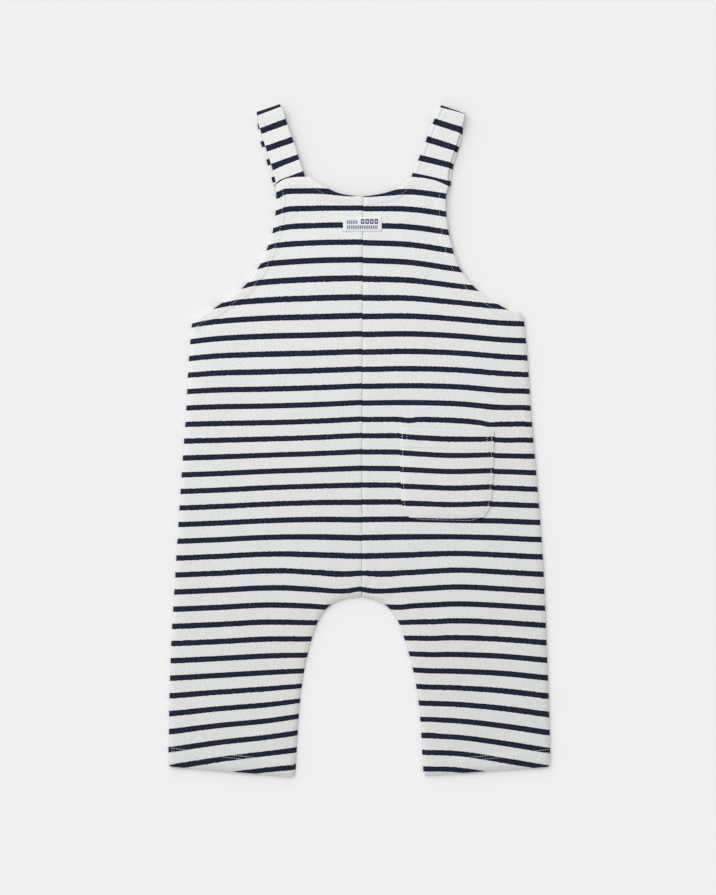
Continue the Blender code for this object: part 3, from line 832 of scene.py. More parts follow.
def add_strap(side):
    """Double cloth from the back bib up, over its fold and down to the front bib."""
    cloth, first = STRAP_CLOTH[side], np.array(STRAPS[side][0], float)
    width = np.linalg.norm(first[2:] - first[:2])
    edge = np.array(EDGE_STEPS) / width
    even = np.linspace(0, 1, STRAP_COLUMNS)[STRAP_EDGE_COLUMNS:-STRAP_EDGE_COLUMNS]
    across = np.concatenate([edge, even, 1 - edge[::-1]])
    from_edge = np.minimum(across, 1 - across) * width
    thick = STRAP_WALL / 2 * (1 - turned(from_edge, STRAP_WALL / 2) * 2 * EDGE_SHARE)
    up, down, to_fold, ahead = strap_runs(side)
    rings = []

    def ring(points, height, normal, run):
        """A row of points on each face; run is how far it is along the strap's middle."""
        line = np.column_stack([points, np.broadcast_to(height, len(points))])
        tilt = cloth.tilt * (across - 0.5) if normal[2] > 0 else 0.0
        pinch = cloth.pinch * (1 - STRAP_PINCH_TURN * across**2) * ramp(run, *STRAP_PINCH_RISE)
        stripes = (run - cloth.first + tilt + pinch) / cloth.repeat
        stripes = np.broadcast_to(stripes, len(points))
        place = np.column_stack([across * width / REPEAT, stripes])
        rings.append((line + thick[:, None] * normal, line - thick[:, None] * normal, place))

    def between(ends, far=0.0):
        """A row from end to end, drawn in where it is not yet far from the fold."""
        inset = STRAP_CORNER / width * (1 - float(ramp(far, 0.0, STRAP_CORNER_LENGTH)))
        share = inset + (1 - 2 * inset) * across[:, None]
        return ends[:2] + (ends[2:] - ends[:2]) * share

    # Heights of the cloth's middle in the lower run, over the fold and in the upper run, and
    # how much cloth the fold takes
    low, fold_top = STRAP_WALL / 2, STRAP_WALL / 2 + 2 * STRAP_FOLD_RADIUS
    flat_top = STRAP_WALL * 1.5 + SEAM_GAP * 1.5
    turn = math.pi * (STRAP_FOLD_RADIUS + STRAP_WALL / 2)
    facing_up, facing_down = np.array([0, 0, 1.0]), np.array([0, 0, -1.0])

    # Up from the back bib, whose edge the first rows follow
    foot = between(up[0], STRAP_CORNER_LENGTH)
    bow = np.column_stack([foot[:, 0], top_edge(HALVES[side], foot[:, 0]) + STRAP_TUCK]) - foot
    centres = (up[:, :2] + up[:, 2:]) / 2
    from_foot = np.linalg.norm(centres - centres[0], axis=1)
    climb = 1 - ramp(to_fold, 0, STRAP_RISE_LENGTH)
    past = across * width - STRAP_CREASE_AT[side]
    rim = STRAP_RIM_RISE * ramp(-past, 0.0, STRAP_RIM_EASE)
    crease = STRAP_CREASE[side] * (hump(past, STRAP_CREASE_WIDTH) - rim)
    for ends, part, far, run in zip(up, climb, from_foot, to_fold):
        points = between(ends, run) + bow * (1 - ramp(far, 0, STRAP_END_BOW))
        height = flat_top + (fold_top - flat_top) * part
        height = height - crease * ramp(far, 0, STRAP_CREASE_START)
        ring(points, height, facing_up, run + turn / 2)

    # Over the fold
    for angle in np.linspace(0, math.pi, STRAP_FOLD_STEPS)[1:-1]:
        reach = np.tile(ahead, 2) * STRAP_FOLD_RADIUS * math.sin(angle)
        height = low + STRAP_FOLD_RADIUS * (1 + math.cos(angle))
        normal = np.array([*(ahead * math.sin(angle)), math.cos(angle)])
        ring(between(up[-1] + reach), height, normal, turn * (0.5 - angle / math.pi))

    # Down to the front bib's edge
    grid = cut_grid(front_of(side), BIB_EDGE_GRID, FRONT_DROP)
    front_x, front_y = (axis[-1] for axis in grid)
    order = np.argsort(front_x)
    for ends, run in zip(down, to_fold[::-1]):
        points = between(ends, run)
        edge_y = np.interp(points[:, 0], front_x[order], front_y[order]) + STRAP_END_GAP
        last = np.min(points[:, 1] - edge_y) < STRAP_LAST_STEP
        if last:
            points[:, 1] = edge_y
        ring(points, low, facing_down, -run - turn / 2)
        if last:
            break
    outer, inner, places = (np.array([part[k] for part in rings]) for k in range(3))
    return add_shell(f"dress_strap_{side}", outer, inner, places)


def pocket_share(x):
    """How far across the pocket x is: 0 at its inner top corner, 1 at its outer one."""
    return (x - POCKET[0].left_x) / POCKET_WIDTH


def pocket_side(y, shrink, side):
    """The pocket's left or right edge at heights y, drawn in all round by shrink."""
    bottom, corner = POCKET[-1].y + shrink, POCKET_CORNER - shrink
    at = np.interp(-y, [-row.y for row in POCKET], range(len(POCKET)))
    edge = smooth([row[1:] for row in POCKET], at)[:, side]
    down = np.clip(corner - (y - bottom), 0, corner)
    inset = shrink + corner - np.sqrt(np.maximum(corner**2 - down**2, 0.0))
    return edge + inset * (1 if side == 0 else -1)


def pocket_drop(y, share):
    """The pocket leans: its edges fall towards the side seam."""
    level = ramp(y, POCKET[-1].y, POCKET[0].y)
    drop = POCKET_BOTTOM_DROP + (POCKET_TOP_DROP - POCKET_BOTTOM_DROP) * level
    return drop * (0.5 - share)


def pocket_edge(shrink):
    """A line round the pocket's sides and bottom, drawn in by shrink."""
    quarter = np.linspace(0, math.pi / 2, ARC_POINTS)
    corner = POCKET[-1].y + shrink + (POCKET_CORNER - shrink) * (1 - np.cos(quarter))
    y = np.concatenate([corner, np.linspace(corner[-1], POCKET[0].y, POCKET_SIDE_POINTS)[1:]])
    left, right = (np.column_stack([pocket_side(y, shrink, side), y]) for side in (0, 1))
    line = np.vstack([left[::-1], right])
    line[:, 1] += pocket_drop(line[:, 1], pocket_share(line[:, 0]))
    return line


def pocket_faces(x, y, below_top):
    """Heights of the pocket's lower and upper face."""
    far = from_line(x, y, pocket_edge(0.0))
    hem = 1 - ramp(below_top, POCKET_HEM, POCKET_HEM + POCKET_HEM_STEP)
    wall = CLOTH_WALL + HEM_EXTRA * hem
    for row in POCKET_ROWS:
        wall -= ROW_DIP * hump(below_top - row, ROW_WIDTH)
    wall -= POCKET_DIP * hump(far - POCKET_SEW, SEWN_WIDTH)
    thin = np.exp(-far / POCKET_PRESS_REACH)
    left, right = POCKET_PRESS
    wall *= 1 - thin * (left + (right - left) * ramp(x, *POCKET_PRESS_TURN))
    gap = SEAM_GAP * (POCKET_GAP - POCKET_GAP_PRESS * thin)
    lie = on_back(x, y) + gap + POCKET_PUFF * ramp(far, *POCKET_PUFF_RISE)
    edge = np.maximum(turned(far, HEM_ROUND), turned(below_top, HEM_ROUND)) * EDGE_SHARE
    return lie + wall * edge * POCKET_UNDER_ROUND, lie + wall * (1 - edge)


def add_pocket(spacing):
    """The patch pocket, sewn on the right back."""
    top, bottom = POCKET[0].y, POCKET[-1].y
    edge = np.array(EDGE_STEPS)
    turns = np.linspace(0, math.pi / 2, POCKET_CORNER_STEPS)
    corner = bottom + POCKET_CORNER * (1 - np.cos(turns))
    count = math.ceil((top - corner[-1]) / spacing)
    even = np.linspace(corner[-1], top - POCKET_TOP_CLEAR, count)[1:]
    level = np.concatenate([corner, even, top - edge[::-1]])
    left, right = (pocket_side(level, 0.0, side)[:, None] for side in (0, 1))
    slim = edge / POCKET_WIDTH
    even = np.linspace(0, 1, math.ceil(POCKET_WIDTH / spacing))
    even = even[np.abs(even - 0.5) < POCKET_EVEN_REACH]
    x = left + (right - left) * np.concatenate([slim, even, 1 - slim[::-1]])
    share = pocket_share(x)
    y = level[:, None] + pocket_drop(level[:, None], share)
    faces = pocket_faces(x, y, np.broadcast_to(top - level[:, None], x.shape))
    bulge = POCKET_BULGE[0] + POCKET_BULGE[1] * ramp(y, *POCKET_BULGE_RISE)
    low, high = POCKET_SHIFT
    shift = (low + (high - low) * ramp(y, *POCKET_SHIFT_RISE)) * (1 - share)
    shift = shift + bulge * 4 * share * (1 - share)
    shift -= POCKET_EDGE_SHIFT * ramp(share, POCKET_EDGE_START, 1.0)
    return add_cloth("dress_pocket", x, y, faces, cloth_map("right", x, y + shift))


def label_place(u, v):
    """Where a point of the label, measured from its lower left corner, lies."""
    return u - LABEL_WIDTH / 2 + LABEL_X, v - LABEL_HEIGHT / 2 + LABEL_Y


def label_faces(u, v):
    """Heights of the label's lower and upper face."""
    ends = np.minimum(u, LABEL_WIDTH - u)
    far = np.minimum(ends, np.minimum(v, LABEL_HEIGHT - v))
    turned_in = LABEL_TURNING * (1 - ramp(ends, *LABEL_TURNING_STEP))
    wall = LABEL_WALL + turned_in - LABEL_DIP * hump(ends - LABEL_SEW, LABEL_DIP_WIDTH)
    wall *= 1 - LABEL_PRESS * np.exp(-far / LABEL_PRESS_REACH)
    lie = back_underside(*label_place(u, v)) + CLOTH_WALL + SEAM_RIDGE + SEAM_PUCKER
    edge = turned(far, LABEL_WALL / 2) * EDGE_SHARE
    return lie + wall * edge, lie + wall * (1 - edge)


def add_label():
    """The small woven label, sewn flat across the centre seam."""
    edge = np.array(EDGE_STEPS[:5]) * LABEL_EDGE_SHARE
    sides = []
    for length, count in ((LABEL_WIDTH, LABEL_COLUMNS), (LABEL_HEIGHT, LABEL_LINES)):
        even = np.linspace(LABEL_EDGE_CLEAR, length - LABEL_EDGE_CLEAR, count)
        sides.append(np.concatenate([edge, even, length - edge[::-1]]))
    u, v = np.meshgrid(*sides)
    places = np.stack([u, v], axis=-1)
    return add_cloth("dress_label", *label_place(u, v), label_faces(u, v), places)


def offset_line(side, name, distance):
    """A line inside a half's edge, at a distance from it."""
    edges, aim = EDGES[side], HALVES[side].bib[2]
    line = np.vstack([edges["neck"], edges["strap"][1:]]) if name == "top" else edges[name]
    run = np.gradient(line, axis=0)
    run /= np.linalg.norm(run, axis=1)[:, None]
    inward = np.column_stack([-run[:, 1], run[:, 0]])
    middle = len(line) // 2
    aim = np.array([aim.inner_x + aim.outer_x, 2 * aim.inner_y]) / 2
    if ((aim - line[middle]) * inward[middle]).sum() < 0:
        inward = -inward
    moved = line + inward * distance
    return moved[from_line(moved[:, 0], moved[:, 1], line) > distance - OFFSET_SLACK]


def stitch_ends(line, sewing, pitch=1.0, length=1.0):
    """Where the stitches along a line start and end; pitch and length are shares."""
    pitch, length = sewing.pitch / MM * pitch, sewing.length / MM * length
    run = np.concatenate([[0.0], np.cumsum(np.linalg.norm(np.diff(line, axis=0), axis=1))])
    starts = np.arange(FIRST_STITCH, run[-1] - length, pitch)
    ends = []
    for at in (starts, starts + length):
        ends.append(np.column_stack([np.interp(at, run, line[:, k]) for k in (0, 1)]))
    return ends


def model_stitch(sewing, thinner=1.0):
    """One stitch along X, round in the middle, its ends drawn down into the cloth.

    Returns its points and its faces, whose order edit mode leaves to chance, sorted.
    """
    length, thickness = sewing.length, sewing.thickness * thinner
    bpy.ops.object.select_all(action="DESELECT")
    bpy.ops.mesh.primitive_uv_sphere_add(
        segments=8, ring_count=6, radius=0.5, rotation=(0, math.pi / 2, 0)
    )
    stitch = bpy.context.object
    bpy.ops.object.transform_apply(location=False, rotation=True, scale=False)
    bpy.ops.object.mode_set(mode="EDIT")
    bpy.ops.mesh.select_all(action="SELECT")
    bpy.ops.transform.resize(value=(length, thickness, thickness * STITCH_FLATTEN))
    bpy.ops.mesh.select_all(action="DESELECT")
    bpy.ops.object.mode_set(mode="OBJECT")
    for vertex in stitch.data.vertices:
        vertex.select = abs(vertex.co.x) > STITCH_END * length
    bpy.ops.object.mode_set(mode="EDIT")
    bpy.ops.transform.translate(value=(0, 0, -0.5 * thickness))
    bpy.ops.object.mode_set(mode="OBJECT")
    shape = np.array([vertex.co[:] for vertex in stitch.data.vertices])
    polygons = []
    for face in stitch.data.polygons:
        corners = list(face.vertices)
        first = corners.index(min(corners))
        polygons.append(corners[first:] + corners[:first])
    bpy.data.objects.remove(stitch)
    return shape, sorted(polygons)


def sew(name, stitch, rows, height):
    """A piece of thread: a copy of the stitch for each start and end in some rows.

    height gives the cloth's upper face at x, y.
    """
    starts, ends = (np.vstack([row[k] for row in rows]) for k in (0, 1))
    starts, ends = (np.column_stack([p, height(*p.T)]) * MM for p in (starts, ends))
    shape, polygons = stitch
    long = shape[:, 0].max() - shape[:, 0].min()
    run = ends - starts
    length = np.linalg.norm(run, axis=1)[:, None]
    run /= length
    aside = np.cross([0.0, 0.0, 1.0], run)
    aside /= np.linalg.norm(aside, axis=1)[:, None]
    out = np.cross(run, aside)
    middle = (starts + ends) / 2 + out * shape[:, 2].max() * STITCH_RAISE
    points = middle[:, None] + run[:, None] * shape[:, :1] * (length[:, None] / long)
    points = points + aside[:, None] * shape[:, 1:2] + out[:, None] * shape[:, 2:]
    firsts = range(0, len(starts) * len(shape), len(shape))
    faces = [[k + first for k in polygon] for first in firsts for polygon in polygons]
    return link_piece(name, points.reshape(-1, 3), faces)


def hem_rows(side, sewing):
    """The stitches of a leg hem's rows."""
    leg = HALVES[side].leg
    share = np.linspace(*LEG_ROW_SPAN)
    heights = np.cumsum([0.0, *(b.inner_y - a.inner_y for a, b in zip(leg[:2], leg[1:3]))])
    rows = []
    for aside in (-LEG_PAIR / 2, LEG_PAIR / 2):
        distance = row_of_leg(side, share) + aside
        ends = smooth(leg, np.interp(distance, heights, range(3)))
        line = ends[:, :2] + (ends[:, 2:] - ends[:, :2]) * share[:, None]
        rows.append(stitch_ends(line, sewing))
    return rows


def bib_rows(side, sewing):
    """The stitches round the neck and armhole of a half, clear of the seams they end at."""
    near = {
        "top": {"centre": BIB_ROW_CLEAR, "armhole": BIB_ROW},
        "armhole": dict.fromkeys(("centre", "flank", "strap"), BIB_ROW_CLEAR),
    }
    rows = []
    for name, seams in near.items():
        line = offset_line(side, name, BIB_ROW)
        clear = [from_line(*line.T, EDGES[side][seam]) > far for seam, far in seams.items()]
        rows.append(stitch_ends(line[np.all(clear, axis=0)], sewing))
    return rows


def on_pocket(x, y):
    """The height of the pocket's upper face; its lean is undone step by step."""
    level = y
    for _ in range(POCKET_LEAN_ROUNDS):
        level = y - pocket_drop(level, pocket_share(x))
    return pocket_faces(x, y, POCKET[0].y - level)[1]


def pocket_rows(sewing):
    """The stitches round the pocket, along its hem and at its top corners."""
    rows = [stitch_ends(pocket_edge(POCKET_SEW), sewing, length=SHORT_STITCH)]
    share = np.linspace(*POCKET_ROW_SPAN)
    for distance in POCKET_ROWS:
        y = np.full(len(share), POCKET[0].y - distance)
        left, right = (pocket_side(y, 0.0, side) for side in (0, 1))
        line = np.column_stack([left + (right - left) * share, y + pocket_drop(y, share)])
        rows.append(stitch_ends(line, sewing))
    for tack in TACKS:
        y = tack.y + np.linspace(-TACK_HEIGHT / 2, TACK_HEIGHT / 2, TACK_STITCHES)
        for x in (tack.x - TACK_WIDTH / 2, tack.x + TACK_WIDTH / 2):
            foot = np.column_stack([np.full(TACK_STITCHES, x), y]) + TACK_FOOT
            rows.append([foot, foot + TACK_SLANT])
    return rows


def label_rows(sewing):
    """The stitches across the label's two ends."""
    rows = []
    for u in (LABEL_SEW, LABEL_WIDTH - LABEL_SEW):
        ends = [[u, LABEL_SEW_INSET], [u, LABEL_HEIGHT - LABEL_SEW_INSET]]
        rows.append(stitch_ends(LABEL_CORNER + ends, sewing, SHORT_PITCH, SHORT_STITCH))
    return rows


def on_label(x, y):
    """The height of the label's upper face."""
    return label_faces(x - LABEL_CORNER[0], y - LABEL_CORNER[1])[1]


def both_ways(operation):
    """An operator and its reflected form, each of which adds a Math node."""
    return (
        lambda self, other: self.maths(operation, self, other),
        lambda self, other: self.maths(operation, other, self),
    )


class Shade:
    """What a material's node gives, with arithmetic that adds the nodes for it."""

    __add__, __radd__ = both_ways("ADD")
    __sub__, __rsub__ = both_ways("SUBTRACT")
    __mul__, __rmul__ = both_ways("MULTIPLY")
    __truediv__, __rtruediv__ = both_ways("DIVIDE")

    def __init__(self, tree, socket=None):
        self.tree, self.socket = tree, socket

    def add(self, kind, settings=None, output=0, **inputs):
        """Adds a node: its settings first, then the values or links of its sockets."""
        node = self.tree.nodes.new(kind)
        for name, value in (settings or {}).items():
            setattr(node, name, value)
        sockets = [socket for socket in node.inputs if socket.enabled]
        for name, value in inputs.items():
            socket = next(s for s in sockets if s.name == name.replace("_", " "))
            self.set(socket, value)
        if isinstance(output, str):
            return Shade(self.tree, node.outputs[output])
        return Shade(self.tree, [socket for socket in node.outputs if socket.enabled][output])

    def set(self, socket, value):
        """Gives a socket a value, or a link to what a node gives."""
        if isinstance(value, Shade):
            self.tree.links.new(value.socket, socket)
        else:
            socket.default_value = value

    def maths(self, operation, *values):
        """Adds a Math node, whose sockets all have one name."""
        made = self.add("ShaderNodeMath", {"operation": operation})
        for socket, value in zip(made.socket.node.inputs, values):
            self.set(socket, value)
        return made

    def __abs__(self):
        return self.maths("ABSOLUTE", self)

    def part(self, axis):
        """One axis of a vector."""
        return self.add("ShaderNodeSeparateXYZ", output=axis, Vector=self)

    def fraction(self):
        return self.maths("FRACT", self)

    def sine(self):
        return self.maths("SINE", self)

    def larger(self, other):
        return self.maths("MAXIMUM", self, other)

    def held(self, low, high):
        """This, kept between two values."""
        return self.maths("MINIMUM", self.larger(low), high)

    def between(self, start, end):
        """0 where this is under start and 1 where it is over end, softly."""
        soft = {"interpolation_type": "SMOOTHSTEP"}
        return self.add("ShaderNodeMapRange", soft, Value=self, From_Min=start, From_Max=end)

    def vector(self, x, y, z=0.0):
        return self.add("ShaderNodeCombineXYZ", X=x, Y=y, Z=z)

    def noise(self, place, scale, detail=2.0, roughness=0.5):
        """Even noise from about 0 to 1."""
        settings = {"Vector": place, "Scale": scale, "Detail": detail, "Roughness": roughness}
        return self.add("ShaderNodeTexNoise", **settings)

    def blend(self, first, second):
        """The first colour where this is 0 and the second where it is 1."""
        return self.add("ShaderNodeMix", {"data_type": "RGBA"}, Factor=self, A=first, B=second)

    def lit(self, colour):
        """A colour, made this much lighter or darker."""
        scale = {"operation": "SCALE"}
        return self.add("ShaderNodeVectorMath", scale, Vector=tuple(colour), Scale=self)


def new_material(name, **values):
    """A material with uniform values on its shader, and a start for its nodes."""
    made = bpy.data.materials.new(name)
    made.use_nodes = True
    shader = made.node_tree.nodes["Principled BSDF"]
    for socket, value in {"Metallic": 0.0, **values}.items():
        shader.inputs[socket.replace("_", " ")].default_value = value
    return made, Shade(made.node_tree)


def finish_material(made, colour, roughness, relief, distance, strength):
    """Links what changes over the surface to the material's shader."""
    tree = made.node_tree
    shader = tree.nodes["Principled BSDF"]
    bump = relief.add(
        "ShaderNodeBump", output="Normal", Strength=strength, Distance=distance, Height=relief
    )
    links = {"Base Color": colour, "Roughness": roughness, "Normal": bump}
    for name, value in links.items():
        tree.links.new(value.socket, shader.inputs[name])
    return made


def striped_fleece(fleece):
    """Yarn-dyed striped sweatshirt jersey: knit stitches, a soft nap and ragged stripes."""
    made, start = new_material(
        "striped fleece", Sheen_Weight=0.06, Sheen_Roughness=0.6, IOR=1.45,
        Specular_IOR_Level=0.12,
    )
    cut = start.add("ShaderNodeUVMap", {"uv_map": MAP}, output="UV")
    across, down = cut.part("X") * REPEAT, cut.part("Y") * REPEAT

    # The knit: loops in wandering lengthways ribs
    warp = start.noise(start.vector(across * 0.16, down * 0.16), 1.0) * 0.9
    wale = abs(((across + warp) / WALE).fraction() - 0.5)
    course = (down / COURSE + wale * 1.1).fraction()
    loops = wale.between(0.0, 0.45) * (1 - abs(course - 0.5) * 1.2)

    # The yarn: a fine nap, flecks along the course, pile along the rib, and uneven dye
    nap = start.noise(start.vector(across, down), 3.2, detail=3.0, roughness=0.65)
    fleck = start.noise(start.vector(across * 0.55, down * 1.3), 1.0, roughness=0.6)
    pile = start.noise(start.vector(across * 0.9, down * 0.28), 1.0)
    cloud = start.noise(start.vector(across, down), 0.09)

    # The stripes, with a ragged rim and pale yarn that shows through along their middles
    ragged = start.noise(start.vector(across * 0.8, down * 0.45), 1.0, detail=3.0)
    place = down / REPEAT + (ragged - 0.5) * fleece.ragged
    from_middle = abs((place + 0.5).fraction() - 0.5)
    half = fleece.stripe / REPEAT / MM / 2
    stripe = 1 - from_middle.between(half - STRIPE_RIM, half + STRIPE_RIM)
    streak = (1 - from_middle.between(0.01, 0.055)) * fleck.between(0.42, 0.66)
    mottle_and_knit_shade = fleck.between(0.3, 0.7)

    # In the white, the loops and the mottle paint the knit's shade: lighter loops and darker
    # gaps between them. The mottle is also uneven yarn
    white = 0.87 + nap * 0.05 + pile * 0.035 + loops * 0.02 - cloud * 0.02 + mottle_and_knit_shade * 0.18
    navy = 0.1 + nap * 0.35 + streak * 0.3 + fleck.between(0.36, 0.68) * 2.1
    colour = stripe.blend(white.lit(fleece.white), navy.lit(fleece.navy))
    relief = loops * 0.55 + nap * 0.35 + pile * 0.3
    return finish_material(made, colour, 0.86 + nap * 0.1, relief, fleece.relief, 0.6)


def cotton_thread(sewing):
    """White sewing thread with a slight twist."""
    made, start = new_material(
        "cotton thread", Sheen_Weight=0.1, Sheen_Roughness=0.4, IOR=1.45
    )
    place = start.add("ShaderNodeTexCoord", output="Object")
    x, y = place.part("X") / MM, place.part("Y") / MM
    twist = ((x + y) * 18.0).sine() * 0.5 + 0.5
    fuzz = start.noise(start.vector(x, y), 4.0)
    colour = (0.88 + twist * 0.07 + fuzz * 0.08).lit(sewing.thread)
    relief = twist * 0.6 + fuzz * 0.4
    return finish_material(made, colour, 0.55 + fuzz * 0.15, relief, 0.00006, 0.5)


def woven_label(label):
    """White woven tape with plain blue marks in its weave."""
    made, start = new_material("woven label", Sheen_Weight=0.1, Sheen_Roughness=0.3, IOR=1.45)
    cut = start.add("ShaderNodeUVMap", {"uv_map": MAP}, output="UV")
    u, v = cut.part("X"), cut.part("Y")
    warp = (u * (2 * math.pi / WARP)).sine()
    weft = (v * (2 * math.pi / WEFT)).sine()
    weave = warp * weft * 0.5 + 0.5

    # Two rows of upright bars, a long and a short one, and a row of boxes over them
    bars = abs((u / 1.5).fraction() - 0.5).between(0.31, 0.25)
    low = abs(v - 3.3).between(1.6, 1.4) * bars * abs(u - 15.75).between(13.0, 12.8)
    short = abs(v - 7.4).between(1.6, 1.4) * bars * abs(u - 7.5).between(4.9, 4.7)
    square = abs((u / 3.7 + 0.16).fraction() - 0.5) * 3.7
    ring = square.larger(abs(v - 8.0) * 0.72)
    high = abs(ring - 1.0).between(0.55, 0.4) * abs(u - 21.6).between(7.4, 7.3)
    marks = low.larger(short).larger(high)

    fuzz = start.noise(start.vector(u, v), 2.5)
    tape = (0.94 + weave * 0.05 + fuzz * 0.03).lit(label.tape)
    mark = (0.85 + weave * 0.3).lit(label.mark)
    relief = weave * 0.7 + marks * 0.3
    colour = marks.blend(tape, mark)
    return finish_material(made, colour, 0.5 + fuzz * 0.2, relief, 0.00005, 0.5)


def light_on_ground(stage, x, y):
    """How brightly the lamp and the room light the ground at each place."""
    lamp = np.array(LAMP_PLACE)
    axis = -lamp / np.linalg.norm(lamp)
    side = np.cross(axis, [0.0, 0.0, 1.0])
    side /= np.linalg.norm(side)
    places = ((np.arange(LAMP_CELLS) + 0.5) / LAMP_CELLS - 0.5) * stage.lamp_size
    total = np.full(np.shape(x), stage.room)
    for a in places:
        for b in places:
            spot = lamp + a * side + b * np.cross(side, axis)
            off_x, off_y = spot[0] - x, spot[1] - y
            square = off_x**2 + off_y**2 + spot[2] ** 2
            facing = -(off_x * axis[0] + off_y * axis[1] + spot[2] * axis[2])
            total += stage.lamp / math.pi**2 / LAMP_CELLS**2 * spot[2] * facing / square**2
    return total


def pale_ground(stage):
    """The surface below: a pale tone, evened out for the light's falloff."""
    made, start = new_material("pale ground", Specular_IOR_Level=0.0)
    spread = np.linspace(-EVEN_REACH, EVEN_REACH, EVEN_POINTS)
    x, y = (grid.ravel() for grid in np.meshgrid(spread, spread))
    powers = [(i, j) for i in range(EVEN_POWERS) for j in range(EVEN_POWERS - i)]
    terms = np.column_stack([x**i * y**j for i, j in powers])
    tones = stage.ground / light_on_ground(stage, x, y)
    shares = np.linalg.lstsq(terms, tones, rcond=None)[0]

    place = start.add("ShaderNodeTexCoord", output="Object")
    x, y = (place.part(axis).held(-EVEN_REACH, EVEN_REACH) for axis in "XY")
    tone = float(shares[0])
    for (i, j), share in zip(powers[1:], shares[1:]):
        term = float(share)
        for axis in [x] * i + [y] * j:
            term = axis * term
        tone = term + tone
    grain = start.noise(place, 700.0)
    colour = (tone * (0.998 + grain * 0.004)).lit((1.0, 1.0, 1.0))
    return finish_material(made, colour, 0.9 + grain * 0.05, grain, 0.00001, 0.1)


def dress(piece, made, slot=None, *nodes):
    """Gives a finished piece its material and its place on the garment."""
    piece.data.materials.clear()
    piece.data.materials.append(made)
    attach(piece, "root")
    if nodes:
        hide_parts(*nodes)
    return piece


def fleece_of(scene):
    """The striped fleece, made once for all the pieces."""
    made = bpy.data.materials.get("striped fleece")
    return made or striped_fleece(scene.dungarees_fleece)


def sewn(scene, *sewing):
    """A dressed piece of thread, all of it in one material."""
    made = bpy.data.materials.get("cotton thread") or cotton_thread(scene.dungarees_sewing)
    return dress(sew(*sewing), made)


class DungareesCloth(bpy.types.PropertyGroup):
    """The panels' mesh."""

    back_grid: FloatProperty(
        name="Back grid", description="Spacing of the back's points", default=0.0016,
        min=0.001, unit="LENGTH",
    )
    front_grid: FloatProperty(
        name="Front grid", description="Spacing of the front's points", default=0.0032,
        min=0.001, unit="LENGTH",
    )
    pocket_grid: FloatProperty(
        name="Pocket grid", description="Spacing of the pocket's points", default=0.0009,
        min=0.0005, unit="LENGTH",
    )


class DungareesFleece(bpy.types.PropertyGroup):
    """The striped fleece."""

    white: FloatVectorProperty(
        name="White", description="Colour of the ground", default=(0.725, 0.725, 0.718),
        min=0.0, max=1.0, subtype="COLOR",
    )
    navy: FloatVectorProperty(
        name="Navy", description="Colour of the stripes", default=(0.0095, 0.0125, 0.031),
        min=0.0, max=1.0, subtype="COLOR",
    )
    stripe: FloatProperty(
        name="Stripe", description="Width of a navy stripe", default=0.00455, unit="LENGTH"
    )
    ragged: FloatProperty(
        name="Ragged edge", description="How far a stripe's edge wanders, in repeats",
        default=0.085, subtype="FACTOR",
    )
    relief: FloatProperty(
        name="Relief", description="Depth of the knit and its nap", default=0.00022,
        unit="LENGTH",
    )


class DungareesSewing(bpy.types.PropertyGroup):
    """The stitches."""

    length: FloatProperty(
        name="Stitch", description="Length of a stitch", default=0.0014, unit="LENGTH"
    )
    pitch: FloatProperty(
        name="Pitch", description="From one stitch to the next", default=0.0019, unit="LENGTH"
    )
    thickness: FloatProperty(
        name="Thickness", description="Thickness of the thread", default=0.0004,
        unit="LENGTH",
    )
    thread: FloatVectorProperty(
        name="Thread", description="Colour of the thread", default=(0.93, 0.93, 0.92),
        min=0.0, max=1.0, subtype="COLOR",
    )


class DungareesLabel(bpy.types.PropertyGroup):
    """The woven label."""

    tape: FloatVectorProperty(
        name="Tape", description="Colour of the tape", default=(0.725, 0.73, 0.76),
        min=0.0, max=1.0, subtype="COLOR",
    )
    mark: FloatVectorProperty(
        name="Marks", description="Colour of the woven marks", default=(0.035, 0.045, 0.16),
        min=0.0, max=1.0, subtype="COLOR",
    )


class DungareesStage(bpy.types.PropertyGroup):
    """The ground, the light and the camera."""

    ground: FloatProperty(
        name="Ground", description="Brightness of the ground", default=0.872,
        subtype="FACTOR",
    )
    lamp: FloatProperty(
        name="Lamp", description="Power of the large lamp", default=5.9, unit="POWER"
    )
    lamp_size: FloatProperty(
        name="Lamp size", description="Width of the large lamp", default=1.157,
        unit="LENGTH",
    )
    room: FloatProperty(
        name="Room", description="Brightness of the room's light", default=0.751,
        subtype="FACTOR",
    )
    lens: FloatProperty(
        name="Lens", description="Focal length", default=100.0, unit="CAMERA"
    )
    height: FloatProperty(
        name="Camera height", description="Over the ground", default=2.0345, unit="LENGTH"
    )


